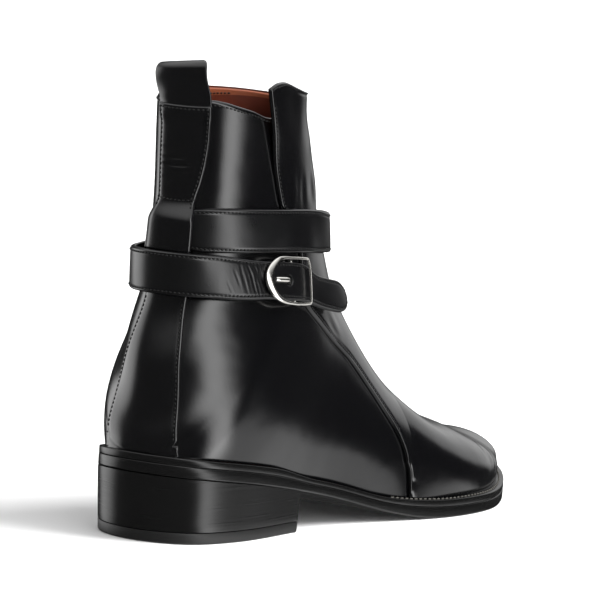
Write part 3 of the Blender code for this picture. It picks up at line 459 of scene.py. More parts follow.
def on_leg(angle, height):
    """Last coordinates of the point seen from the leg's axis at an angle and height."""
    angle, height = np.broadcast_arrays(np.asarray(angle, float), np.asarray(height, float))
    gs, gq = np.meshgrid(np.linspace(195, places[-1] - 2, 90), np.linspace(-1, .98, 100), indexing="ij")
    g = skin(gs, gq)
    ga = np.degrees(np.arctan2(-g[..., 1], -(g[..., 0] - LEG_AXIS_X)))
    s, q = np.empty(angle.shape), np.empty(angle.shape)
    for k in np.ndindex(angle.shape):
        turn_by = (ga - angle[k] + 180) % 360 - 180
        i = np.unravel_index(((turn_by * .7)**2 + (g[..., 2] - height[k])**2).argmin(), ga.shape)
        s[k], q[k] = gs[i], gq[i]
    a = np.radians(angle)
    across = np.stack([np.sin(a), -np.cos(a)], -1)

    def miss(s, q):
        p = skin(s, q)
        return (p[..., 0] - LEG_AXIS_X) * across[..., 0] + p[..., 1] * across[..., 1], p[..., 2] - height
    ds, dq = .2, .003
    for _ in range(9):
        f, g2 = miss(s, q)
        fs, gs2 = miss(s + ds, q)
        fq, gq2 = miss(s, q + dq)
        a11, a12, a21, a22 = (fs - f) / ds, (fq - f) / dq, (gs2 - g2) / ds, (gq2 - g2) / dq
        det = a11 * a22 - a12 * a21
        det = np.where(np.abs(det) < 1e-9, 1e-9, det)
        s = s - np.clip((f * a22 - g2 * a12) / det, -5, 5)
        q = q - np.clip((a11 * g2 - a21 * f) / det, -.06, .06)
    return s, q


def on_strap(angle, height, distance):
    """Point at a stand-off from the leg."""
    s, q = on_leg(angle, height)
    return out(s, q, np.broadcast_to(distance, s.shape))


panel_edge, stay_outer, stay_inner = smooth(PANEL_EDGE), smooth(BACKSTAY_OUTER), smooth(BACKSTAY_INNER)
top_outer, top_inner = smooth(TOP_OUTER), smooth(TOP_INNER)
panel_top_outer, panel_top_inner = smooth(PANEL_TOP_OUTER), smooth(PANEL_TOP_INNER)


def top_line(q):
    """Where the quarters end along the last."""
    t = 1 - np.abs(q)
    return np.where(q < 0, top_outer(t), top_inner(t))


def panel_top(q):
    """Where the front panel ends, with its two upper corners rounded off."""
    t = 1 - np.abs(q)
    edge = panel_edge(PANEL_END)
    line = np.where(q < 0, panel_top_outer(t), panel_top_inner(t))
    return line - CORNER_DROP * np.clip(1 - (t - edge) / CORNER_SHARE, 0, 1)**CORNER_BEND


def stay_stand(s, z):
    """How far the backstay stands off: over the strap's first turn, and over the pull loop's end."""
    up, down = (ease((z - start) / run) for start, run in (BULGE_RISE, BULGE_FALL))
    return BULGE * up * (1 - down) + LOOP_STAND * ease((s - LOOP_STAND_START) / LOOP_STAND_RUN)


def stay_thick(z):
    """Thickness of the backstay, skived thin towards the welt."""
    return STAY_FOOT_THICK + (STAY_THICK - STAY_FOOT_THICK) * ease((z - SKIVE_START) / SKIVE_RUN)


def lift(s, q):
    """How far the front panel's free edge stands off near its top."""
    from_edge = (1 - np.abs(q)) - panel_edge(s)
    return PANEL_LIFT * ease((s - LIFT_START) / LIFT_RUN) * (1 - ease(from_edge / LIFT_SHARE))


def rows_to(low, end, count):
    """Mesh rows along the last: level ones, some that bend towards a top edge, and close ones at it."""
    rows = [np.full(len(end), v) for v in low]
    rows += [low[-1] + (end - EDGE_BAND - low[-1]) * f for f in np.linspace(0, 1, count)[1:]]
    return np.array(rows + [end - d for d in EDGE_ROWS])


def over_welt(points):
    """Points lifted onto the welt's top."""
    floor = feather_z(np.clip(points[..., 0], 0, SOLE_LENGTH)) - WELT_SINK
    points[..., 2] = np.maximum(points[..., 2], floor)
    return points


def point_tree(points):
    """Search tree of points."""
    tree = kdtree.KDTree(len(points))
    for i, p in enumerate(points):
        tree.insert(Vector(p), i)
    tree.balance()
    return tree


def nearest(points, lines):
    """Distance from each point to the nearest of some polylines, and its share of the way along that one."""
    flat = np.asarray(points, float).reshape(-1, 3)
    line = np.concatenate(lines)
    share = np.concatenate([np.linspace(0, 1, len(x)) for x in lines])
    ends = np.cumsum([len(x) for x in lines])
    tree = point_tree(line)
    k = np.array([tree.find(Vector(p))[1] for p in flat])
    best = np.linalg.norm(flat - line[k], axis=1)
    for step in (-1, 1):
        j = np.clip(k + step, 0, len(line) - 1)
        same = np.searchsorted(ends, j, side="right") == np.searchsorted(ends, k, side="right")
        a, d = line[k], line[j] - line[k]
        u = np.clip(((flat - a) * d).sum(1) / np.maximum((d * d).sum(1), 1e-12), 0, 1)
        best = np.where(same, np.minimum(best, np.linalg.norm(flat - a - d * u[:, None], axis=1)), best)
    shape = np.shape(points)[:-1]
    return best.reshape(shape), share[k].reshape(shape)


def trough(d, share, half, depth, shoulder, spread):
    """Height across a crease with soft shoulders, fading out at both ends of its line."""
    fade = np.sin(np.pi * np.clip(share, .02, .98))**.6
    return fade * depth * (shoulder * np.exp(-((d - spread * half) / half)**2) - np.exp(-(d / half)**2))


def groove(d, seam, size):
    """Depth of the groove along a seam, from its distance to the edge."""
    depth, half = size
    return depth * np.exp(-((d - seam) / half)**2)


def relief(piece, s, q):
    """Height of the creases of one piece at places of the last."""
    points, height = skin(s, q), np.zeros(np.shape(s))
    for name, s0, q0, s1, q1, half, depth in CREASES:
        if name != piece:
            continue
        if q1 - q0 > 1:
            q1 -= 2
        u = np.linspace(0, 1, 40)
        line = skin(s0 + (s1 - s0) * u, q0 + (q1 - q0) * u)
        d, share = nearest(points, [line])
        height += trough(d, share, half, depth, .35, 2.1)
    return height


# Mesh tools
def put(name, data):
    """New object of the scene."""
    item = bpy.data.objects.new(name, data)
    bpy.context.scene.collection.objects.link(item)
    return item


def plain(item):
    """Piece whose modifiers have become its plain mesh."""
    bpy.context.view_layer.update()
    mesh = bpy.data.meshes.new_from_object(item.evaluated_get(bpy.context.evaluated_depsgraph_get()))
    item.modifiers.clear()
    item.data = mesh
    return item


def welded(points, reach):
    """For each point the first one of the cluster it lies in."""
    tree = point_tree(points)
    first = list(range(len(points)))

    def root(i):
        while first[i] != i:
            i = first[i]
        return i
    for i, p in enumerate(points):
        for _, k, _ in tree.find_range(Vector(p), reach):
            a, b = root(i), root(k)
            first[max(a, b)] = min(a, b)
    return [root(i) for i in range(len(points))]


def piece(name, points, faces, materials, tags=None, sharp=55):
    """Closed smooth mesh in metres from points in millimetres."""
    mesh = bpy.data.meshes.new(name)
    metres = (np.asarray(points, float) - CENTRE) * MM
    mesh.from_pydata(metres.tolist(), [], [list(map(int, f)) for f in faces])
    for material in materials:
        mesh.materials.append(material)
    if tags is not None:
        mesh.polygons.foreach_set("material_index", np.asarray(tags, np.int32))
    body = bmesh.new()
    body.from_mesh(mesh)
    bmesh.ops.remove_doubles(body, verts=body.verts, dist=2e-6)
    bmesh.ops.dissolve_degenerate(body, edges=body.edges, dist=1e-7)
    bmesh.ops.delete(body, geom=[v for v in body.verts if not v.link_faces], context="VERTS")
    bmesh.ops.recalc_face_normals(body, faces=body.faces)
    body.to_mesh(mesh)
    body.free()
    mesh.shade_smooth()
    mesh.set_sharp_from_angle(angle=radians(sharp))
    return put(name, mesh)


def shell(name, key, near, far, materials, seam=None, reach=.01, band=0):
    """Closed piece between two grids; the near side takes the second material, its last rows the third."""
    rows, cols = near.shape[:2]
    same = welded(key.reshape(-1, 3), reach)
    at = np.arange(rows * cols).reshape(rows, cols)
    cells, edges, tags = [], set(), []
    for i in range(rows - 1):
        for j in range(cols - 1):
            if j == seam:
                continue
            ring = []
            for k in (at[i, j], at[i, j + 1], at[i + 1, j + 1], at[i + 1, j]):
                if not ring or ring[-1] != same[k]:
                    ring.append(same[k])
            if ring[0] == ring[-1]:
                ring.pop()
            if len(set(ring)) < 3:
                continue
            cells.append(ring)
            tags.append(2 if i >= rows - 1 - band else 1)
            edges.update(zip(ring, ring[1:] + ring[:1]))
    rims = [(a, b) for a, b in edges if (b, a) not in edges]
    count = rows * cols
    faces = cells + [[k + count for k in ring[::-1]] for ring in cells]
    faces += [(b, a, a + count, b + count) for a, b in sorted(rims)]
    tags += [0] * (len(cells) + len(rims))
    return piece(name, np.concatenate([near.reshape(-1, 3), far.reshape(-1, 3)]), faces, materials, tags)


def loft(name, rings, materials, round_trip=False):
    """Piece through rings of points; ends are closed unless the rings go round."""
    rings = np.asarray(rings)
    n, k = rings.shape[:2]
    at = np.arange(n * k).reshape(n, k)
    faces = []
    for i in range(n if round_trip else n - 1):
        for j in range(k):
            faces.append((at[i, j], at[i, (j + 1) % k], at[(i + 1) % n, (j + 1) % k], at[(i + 1) % n, j]))
    if not round_trip:
        faces += [tuple(at[0][::-1]), tuple(at[-1])]
    return piece(name, rings.reshape(-1, 3), faces, materials)


def tube(name, path, radii, materials, sides=14):
    """Round wire along a path."""
    path = np.asarray(path, float)
    ahead = unit(np.gradient(path, axis=0))
    up = np.array([.37, .61, .70])
    rings = []
    for p, d, r in zip(path, ahead, np.broadcast_to(radii, len(path))):
        up = up - d * (up @ d)
        up /= np.linalg.norm(up)
        side = np.cross(d, up)
        a = np.arange(sides) * 2 * np.pi / sides
        rings.append(p + r * (np.cos(a)[:, None] * up + np.sin(a)[:, None] * side))
    return loft(name, rings, materials)


def plate(name, rows, materials, sharp=55):
    """Closed plate through level rings, each capped by strips from one side of the ring to the other."""
    rings = np.array(rows)
    n, k = rings.shape[:2]
    at = np.arange(n * k).reshape(n, k)
    faces = [(at[i, j], at[i, (j + 1) % k], at[i + 1, (j + 1) % k], at[i + 1, j])
             for i in range(n - 1) for j in range(k)]
    for ring in (at[0], at[-1]):
        for j in range(k // 2):
            strip = list(dict.fromkeys([ring[j], ring[j + 1], ring[k - j - 1], ring[(k - j) % k]]))
            if len(strip) > 2:
                faces.append(strip)
    return piece(name, rings.reshape(-1, 3), faces, materials, sharp=sharp)


def settle(item, slot, *nodes):
    """Piece on the boot's one body, hiding the solids it stands for; its slot is not used."""
    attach(item, "root")
    if nodes:
        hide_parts(*nodes)
    return item


def add(tree, kind, inputs=None, **settings):
    """Node with its settings; an input takes a value or another node's socket."""
    node = tree.nodes.new(kind)
    for key, value in settings.items():
        setattr(node, key, value)
    for key, value in (inputs or {}).items():
        if isinstance(value, bpy.types.NodeSocket):
            tree.links.new(value, node.inputs[key])
        else:
            node.inputs[key].default_value = value
    return node


def blank(name, colour, rough, values=None):
    """Principled material with its even values set, its tree, shader and place on the piece."""
    if name in bpy.data.materials:
        return bpy.data.materials[name], None, None, None
    material = bpy.data.materials.new(name)
    material.use_nodes = True
    tree = material.node_tree
    shader = tree.nodes["Principled BSDF"]
    shader.inputs["Base Color"].default_value = (*colour, 1)
    shader.inputs["Roughness"].default_value = rough
    for key, value in (values or {}).items():
        shader.inputs[key].default_value = value
    return material, tree, shader, add(tree, "ShaderNodeTexCoord").outputs["Object"]


def polished_calf():
    """Smooth calf, dyed through and polished: a deep gloss over faint pores and the hide's slow waves."""
    return waxed("polished_calf", .13, .23)


def strap_calf():
    """The same calf, cut for the strap and waxed by hand: a softer gloss that spreads round the ankle."""
    return waxed("hand_waxed_calf", .24, .36)


def waxed(name, smooth_part, rough_part):
    """Black waxed calf between two roughnesses."""
    look = bpy.context.scene.boot_colours
    material, tree, shader, place = blank(name, look.calf, .18, {"Coat Weight": .1, "Coat Roughness": .12})
    if tree is None:
        return material
    # Pores are about 0.2 mm apart and drawn at 1.1 mm, so that they show
    pores = add(tree, "ShaderNodeTexNoise", {"Vector": place, "Scale": 1 / (1.1 * MM), "Detail": 2.0})
    hide = add(tree, "ShaderNodeTexNoise", {"Vector": place, "Scale": 1 / (16 * MM), "Detail": 1.0})
    worn = add(tree, "ShaderNodeTexNoise", {"Vector": place, "Scale": 1 / (9 * MM), "Detail": 3.0})
    rough = add(tree, "ShaderNodeMapRange", {"Value": worn.outputs["Fac"], "To Min": smooth_part,
                                             "To Max": rough_part})
    tree.links.new(rough.outputs["Result"], shader.inputs["Roughness"])
    slow = add(tree, "ShaderNodeBump", {"Height": hide.outputs["Fac"], "Strength": .35, "Distance": .6 * MM})
    fine = add(tree, "ShaderNodeBump", {"Height": pores.outputs["Fac"], "Strength": .25, "Distance": .06 * MM,
                                        "Normal": slow.outputs["Normal"]})
    tree.links.new(fine.outputs["Normal"], shader.inputs["Normal"])
    tree.links.new(slow.outputs["Normal"], shader.inputs["Coat Normal"])
    return material


def lining_calf():
    """Vegetable-tanned lining calf, unwaxed: warm red-brown, matt, a little darker where it is dense."""
    return tanned("lining_calf", bpy.context.scene.boot_colours.lining)


def band_calf():
    """The same calf turned over the collar as a band, in a paler tone."""
    return tanned("lining_band_calf", bpy.context.scene.boot_colours.band)


def tanned(name, colour):
    """Unwaxed calf of one colour."""
    material, tree, shader, place = blank(name, colour, .55)
    if tree is None:
        return material
    cloud = add(tree, "ShaderNodeTexNoise", {"Vector": place, "Scale": 1 / (7 * MM), "Detail": 4.0})
    tone = add(tree, "ShaderNodeMix", {"Factor": cloud.outputs["Fac"]}, data_type="RGBA")
    tone.inputs["A"].default_value = (*(c * .75 for c in colour), 1)
    tone.inputs["B"].default_value = (*(min(c * 1.2, 1) for c in colour), 1)
    tree.links.new(tone.outputs["Result"], shader.inputs["Base Color"])
    # Pores are about 0.2 mm apart and drawn at 0.9 mm, so that they show
    pores = add(tree, "ShaderNodeTexNoise", {"Vector": place, "Scale": 1 / (.9 * MM), "Detail": 2.0})
    fine = add(tree, "ShaderNodeBump", {"Height": pores.outputs["Fac"], "Strength": .4, "Distance": .1 * MM})
    tree.links.new(fine.outputs["Normal"], shader.inputs["Normal"])
    return material


def edge_leather():
    """Sole leather with ironed black edge dressing: satin, with faint level lines of its layers."""
    look = bpy.context.scene.boot_colours
    material, tree, shader, place = blank("edge_dressed_sole_leather", look.sole, .24,
                                          {"Specular IOR Level": .35})
    if tree is None:
        return material
    # Lines of the layers run on for about 40 mm and lie about 0.7 mm apart
    flat = add(tree, "ShaderNodeMapping", {"Vector": place, "Scale": (25, 25, 1400)})
    layers = add(tree, "ShaderNodeTexNoise", {"Vector": flat.outputs["Vector"], "Scale": 1.0, "Detail": 3.0})
    rough = add(tree, "ShaderNodeMapRange", {"Value": layers.outputs["Fac"], "To Min": .18, "To Max": .32})
    tree.links.new(rough.outputs["Result"], shader.inputs["Roughness"])
    lines = add(tree, "ShaderNodeBump", {"Height": layers.outputs["Fac"], "Strength": .35,
                                         "Distance": .08 * MM})
    tree.links.new(lines.outputs["Normal"], shader.inputs["Normal"])
    return material


def heel_rubber():
    """Moulded rubber of the top piece: dull black with a fine grit."""
    material, tree, shader, place = blank("moulded_rubber", bpy.context.scene.boot_colours.rubber, .5)
    if tree is None:
        return material
    # The grit is finer than 0.3 mm and drawn at 1.2 mm, so that it shows
    grit = add(tree, "ShaderNodeTexNoise", {"Vector": place, "Scale": 1 / (1.2 * MM), "Detail": 2.0})
    fine = add(tree, "ShaderNodeBump", {"Height": grit.outputs["Fac"], "Strength": .3, "Distance": .1 * MM})
    tree.links.new(fine.outputs["Normal"], shader.inputs["Normal"])
    return material


def waxed_thread():
    """Black waxed thread of the upper: dull, so that it reads as a row of small dark dents."""
    return twisted("waxed_thread", bpy.context.scene.boot_colours.thread)


def linen_thread():
    """Grey linen of the welt: a row of small pale stitches in the dark groove."""
    return twisted("linen_thread", bpy.context.scene.boot_colours.welt_thread)


def twisted(name, colour):
    """Dull thread of one colour with the broken gloss of its twist."""
    material, tree, shader, place = blank(name, colour, .6)
    if tree is None:
        return material
    twist = add(tree, "ShaderNodeTexNoise", {"Vector": place, "Scale": 1 / (.4 * MM), "Detail": 1.0})
    rough = add(tree, "ShaderNodeMapRange", {"Value": twist.outputs["Fac"], "To Min": .5, "To Max": .75})
    tree.links.new(rough.outputs["Result"], shader.inputs["Roughness"])
    return material


def polished_nickel():
    """Polished nickel plate: a clear warm-white mirror with faint rubbing."""
    look = bpy.context.scene.boot_colours
    material, tree, shader, place = blank("polished_nickel", look.nickel, .14, {"Metallic": 1.0})
    if tree is None:
        return material
    rub = add(tree, "ShaderNodeTexNoise", {"Vector": place, "Scale": 1 / (3 * MM), "Detail": 3.0})
    rough = add(tree, "ShaderNodeMapRange", {"Value": rub.outputs["Fac"], "To Min": .08, "To Max": .2})
    tree.links.new(rough.outputs["Result"], shader.inputs["Roughness"])
    return material


def matt_paper():
    """Matt paper of the floor: pale, with the faint tooth of its fibres."""
    material, tree, shader, place = blank("matt_paper", bpy.context.scene.boot_colours.floor, .9)
    if tree is None:
        return material
    # Fibres are finer than 0.1 mm and their tooth is drawn at 1.1 mm, so that it shows
    fibre = add(tree, "ShaderNodeTexNoise", {"Vector": place, "Scale": 1 / (1.1 * MM), "Detail": 2.0})
    tooth = add(tree, "ShaderNodeBump", {"Height": fibre.outputs["Fac"], "Strength": .05,
                                         "Distance": .1 * MM})
    tree.links.new(tooth.outputs["Normal"], shader.inputs["Normal"])
    return material


def measure(name, description, default, low, high):
    """Property for a length in metres."""
    return FloatProperty(name=name, description=description, default=default, min=low, max=high,
                         unit="LENGTH", precision=5)


def tint(name, description, code):
    """Property for a colour from its sRGB hex code."""
    return FloatVectorProperty(name=name, description=description, subtype="COLOR", size=3, min=0, max=1,
                               default=linear(code))


class BootSizes(bpy.types.PropertyGroup):
    """Sizes a user would change."""
    stitch_pitch: measure("Stitch pitch", "From one upper stitch to the next", .0019, .001, .006)
    stitch_length: measure("Stitch length", "Length of an upper stitch", .00145, .0005, .005)
    stitch_width: measure("Stitch width", "Thickness of the upper's thread", .0008, .0002, .002)
    welt_pitch: measure("Welt pitch", "From one welt stitch to the next", .0031, .001, .008)
    welt_width: measure("Welt thread", "Thickness of the welt's thread", .0009, .0003, .003)
    edge_round: measure("Edge round", "Radius of the leather's skived edges", .0012, .0003, .003)


class BootColours(bpy.types.PropertyGroup):
    """Colours a user would change."""
    calf: tint("Calf", "Waxed calf of upper, strap and loop", "#040405")
    lining: tint("Lining", "Calf inside the shaft", "#4e1d0d")
    band: tint("Lining band", "Band of lining calf under the collar's edge", "#7a3f26")
    sole: tint("Sole edge", "Dressed edge of sole, welt and heel", "#0a0a0a")
    rubber: tint("Rubber", "Top piece of the heel", "#121212")
    thread: tint("Thread", "Waxed thread", "#050505")
    welt_thread: tint("Welt thread", "Grey thread of the welt", "#4c4a46")
    nickel: tint("Nickel", "Plated buckle", "#d9d7d2")
    floor: tint("Floor", "Paper the boot stands on", "#f4f4f4")


# Stitch rows: name of the row's kind, points in millimetres, outward directions
stitch_rows = []


def stitch(kind, points, outward):
    """Keeps a row of points to be sewn."""
    stitch_rows.append((kind, np.asarray(points, float), np.asarray(outward, float)))


def beside(s, q, inward, height):
    """Row on the leather at a distance to one side of a line on the last, and its outward directions."""
    p, n = skin(s, q), normal(s, q)
    side = np.cross(n, unit(np.gradient(p, axis=0)))
    return p + side * inward + n * np.asarray(height)[..., None], n


class BOOT_OT_sole(bpy.types.Operator):
    """Outsole with rounded edges and the welt on it"""
    bl_idname = "boot.sole"
    bl_label = "Sole and welt"

    def execute(self, context):
        count = 180
        rim = sole_loop(count)
        x = rim[:, 0]

        def ring(back, height):
            return np.column_stack([inset(rim, back), height])
        base, top = under(x), under(x) + outsole_thick(x)
        rows = [ring(back, base + rise) for back, rise in SOLE_FOOT] + [ring(0, (base + top) / 2)]
        rows += [ring(back, top - drop) for back, drop in SOLE_TOP]
        settle(plate("outsole_edge", rows, [edge_leather()]), "sole_leather", "outsole")
        low, high = welt_base(x) - WELT_LAP, welt_base(x) + welt_thick(x)
        hem = feather_inset(x) + WELT_HEM
        rows = [ring(back, low + rise) for back, rise in WELT_FOOT]
        rows += [ring(back, high - drop) for back, drop in WELT_TOP]
        rows += [ring(hem, high - WELT_HEM_DROP), ring(hem, low)]
        strip = loft("welt_strip", np.stack(rows, 1), [edge_leather()], round_trip=True)
        settle(strip, "sole_leather", "welt")
        row = ring(feather_inset(x) * WELT_SEAM_SHARE, high + WELT_SIT)
        for part in (slice(0, count), slice(count - 1, None)):
            p = row[part][x[part] > WELT_SEAM_START]
            stitch("welt", p, np.tile((0, 0, 1.0), (len(p), 1)))
        return {"FINISHED"}


class BOOT_OT_heel(bpy.types.Operator):
    """Stacked heel and its rubber top piece"""
    bl_idname = "boot.heel"
    bl_label = "Heel"

    def execute(self, context):
        count = 90
        u = turn(HEEL_LENGTH) * (1 - np.cos(np.linspace(0, np.pi / 2, count)))
        x = SOLE_LENGTH * (1 - np.cos(u)) / 2
        half = np.concatenate([np.stack([x, -outer_half(u)], 1), np.stack([x, inner_half(u)], 1)[:0:-1]])
        breast = np.linspace(0, 1, 14)[1:-1, None]
        a, b = half[count - 1], half[count]
        loop = np.concatenate([half[:count], a + (b - a) * breast, half[count:]])
        top = under(loop[:, 0]) - GAP
        level = top.mean()

        def ring(z, back=0.0):
            share = 1 - np.clip(np.asarray(z) / level, 0, 1)
            p = loop * 1.0
            p[:, 0] += HEEL_TAPER_BACK * share * (1 - loop[:, 0] / HEEL_LENGTH)
            p[:, 1] *= 1 - HEEL_TAPER_SIDE * share
            return np.column_stack([inset(p, back), z + 0 * p[:, 0]])
        low = TOP_PIECE + STACK_LAP
        rows = [ring(low + rise, back) for back, rise in STACK_FOOT]
        low += STACK_FOOT[-1][1]
        rows += [ring(low + (top - low) * share) for share in np.linspace(.15, 1, 7)]
        settle(plate("heel_stack", rows, [edge_leather()], sharp=40), "heel_stack", "heel_block")
        rows = [ring(rise, back) for back, rise in LIFT_FOOT]
        rows += [ring(TOP_PIECE - drop, back) for back, drop in LIFT_TOP]
        settle(plate("heel_top_lift", rows, [heel_rubber()], sharp=40), "heel_rubber", "heel_top_piece")
        return {"FINISHED"}


class BOOT_OT_insole(bpy.types.Operator):
    """Finish of the insole, which keeps its solid's shape"""
    bl_idname = "boot.insole"
    bl_label = "Insole"

    def execute(self, context):
        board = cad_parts["insole"]
        board.data.materials.clear()
        board.data.materials.append(lining_calf())
        return {"FINISHED"}


class BOOT_OT_upper(bpy.types.Operator):
    """Quarters and shaft: one hollow wall, black outside and lined inside"""
    bl_idname = "boot.upper"
    bl_label = "Upper"

    def execute(self, context):
        low = np.concatenate([[0, .6, 1.6, 3, 5, 8], np.arange(12, 131, 3.4), np.arange(131, 254, 2.2),
                              np.arange(254, BACK_PLACE - .4, 1.1), [BACK_PLACE],
                              np.arange(BACK_PLACE + 1.5, 330, 2.0)])
        q = np.linspace(-1, 1, 193)
        end = top_line(q)
        s = rows_to(low, end, 12)
        q = np.broadcast_to(q, s.shape)
        face, away = skin(s, q), normal(s, q)
        wall = TOE_WALL + (WALL - TOE_WALL) * ease(s / 12)
        dip = (WALL / 2) * (1 - quarter_round((end - s) / (WALL / 2)))
        outside, inside = face - away * dip[..., None], face - away * (wall - dip)[..., None]
        settle(shell("calf_upper", face, inside, outside, [polished_calf(), lining_calf(), band_calf()],
                     reach=.02, band=9), "upper_calf", "upper")
        for side, first, last in TOP_RUNS:
            line = side * (1 - np.linspace(first, last, 120))
            s = top_line(line) - TOP_SEAM
            stitch("upper", out(s, line, TOP_SIT), normal(s, line))
        for side, first, last in BAND_RUNS:
            line = side * (1 - np.linspace(first, last, 150))
            s = top_line(line) - BAND_SEAM
            stitch("upper", out(s, line, -WALL - BAND_SIT), -normal(s, line))
        return {"FINISHED"}


class BOOT_OT_panel(bpy.types.Operator):
    """Front panel from the toe to the top of the shaft, lapped over the quarters"""
    bl_idname = "boot.panel"
    bl_label = "Front panel"

    def execute(self, context):
        radius = context.scene.boot_sizes.edge_round / MM
        across = np.concatenate([[0, .004, .01, .018, .028, .04, .055, .075, .1], np.linspace(.13, 1, 40)])
        low = np.concatenate([[0, .5, 1.2, 2.2, 3.5, 5, 7, 9.5, 12], np.arange(14.5, 131, 2.2),
                              np.arange(131.5, 141, .4), np.arange(141.5, 330, 2.0)])
        crest = np.concatenate([across, across[-2::-1]])
        side = np.where(np.arange(len(crest)) < len(across), -1.0, 1.0)

        def place(s):
            edge = np.where(s < PANEL_EDGE[0][0], 0, panel_edge(s))
            return side * (1 - edge - (1 - edge) * crest)
        end = panel_top(place(np.full(len(crest), PANEL_END)))
        s = rows_to(low, end, 16)
        q = np.array([place(r) for r in s])
        face, away = skin(s, q), normal(s, q)
        free = s[:, 0] >= PANEL_EDGE[0][0]
        rim = [face[free, 0], face[free, -1], face[-1]]
        d, _ = nearest(face, rim)
        near = PANEL_GAP + lift(s, q)
        far = near + PANEL_THICK * rounded(d, PANEL_ROUND * radius) + relief("panel", s, q)
        far -= groove(d, PANEL_SEAM, PANEL_GROOVE)
        settle(shell("calf_front_panel", face, over_welt(face + away * near[..., None]),
                     over_welt(face + away * far[..., None]), [polished_calf(), lining_calf()], reach=.02),
               "upper_calf", "front_panel")

        def thread_height(s, q):
            return PANEL_SIT + lift(s, q) * LIFT_AT_SEAM + PANEL_THICK
        along = np.linspace(*PANEL_RUN, 420)
        for hand in (-1, 1):
            line = hand * (1 - panel_edge(along))
            stitch("upper", *beside(along, line, hand * PANEL_SEAM, thread_height(along, line) - PANEL_SINK))
        line = np.linspace(q[-1, 0], q[-1, -1], 160)[6:-6]
        s = panel_top(line) - PANEL_TOP_SEAM
        stitch("upper", out(s, line, thread_height(panel_top(line), line)), normal(s, line))
        return {"FINISHED"}


class BOOT_OT_backstay(bpy.types.Operator):
    """Strip down the back seam, bulged over the strap's first turn"""
    bl_idname = "boot.backstay"
    bl_label = "Backstay"

    def execute(self, context):
        radius = context.scene.boot_sizes.edge_round / MM
        rows = np.concatenate([[260.3, 261, 262, 263, 264, BACK_PLACE], np.arange(BACK_PLACE + 1.4, 320, 1.6),
                               np.arange(320, 341, .7), np.arange(341, 354, .3), np.arange(354.4, 361, 1.2),
                               STAY_END - np.array([2.4, 1.7, 1.2, .85, .6, .4, .25, .1, 0])])
        half = np.concatenate([np.linspace(0, .8, 13), [.85, .89, .92, .945, .965, .98, .99, 1]])
        s = np.repeat(rows[:, None], 2 * len(half), 1)
        q = np.concatenate([1 - stay_inner(rows)[:, None] * half[::-1],
                            stay_outer(rows)[:, None] * half - 1], 1)
        face, away = skin(s, q), normal(s, q)
        d, _ = nearest(face, [face[:, 0], face[:, -1], face[-1]])
        z = face[..., 2]
        near = STAY_GAP + stay_stand(s, z)
        far = near + STAY_STEP + stay_thick(z) * rounded(d, radius) + relief("backstay", s, q)
        far -= groove(d, STAY_SEAM, STAY_GROOVE)
        settle(shell("calf_backstay", face, over_welt(face + away * near[..., None]),
                     over_welt(face + away * far[..., None]), [polished_calf(), polished_calf()],
                     seam=len(half) - 1, reach=.02), "upper_calf", "backstay")
        for hand, stay in ((-1, stay_outer), (1, stay_inner)):
            for run in STAY_RUNS:
                along = np.linspace(*run, 160)
                line = hand * (1 - stay(along))
                z = skin(along, line)[:, 2]
                height = STAY_SIT + stay_stand(along, z) + stay_thick(z)
                stitch("upper", *beside(along, line, -hand * STAY_SEAM, height))
        for place in (STAY_END - STAY_TOP_SEAM, STAY_CROSS):
            w = np.linspace(-CROSS_REACH, CROSS_REACH, 60)
            line = np.where(w < 0, 1 + stay_inner(place) * w, stay_outer(place) * w - 1)
            z = skin(place, line)[:, 2]
            height = CROSS_SIT + stay_stand(place, z) + stay_thick(z)
            stitch("upper", out(place, line, height), normal(place, line))
        return {"FINISHED"}


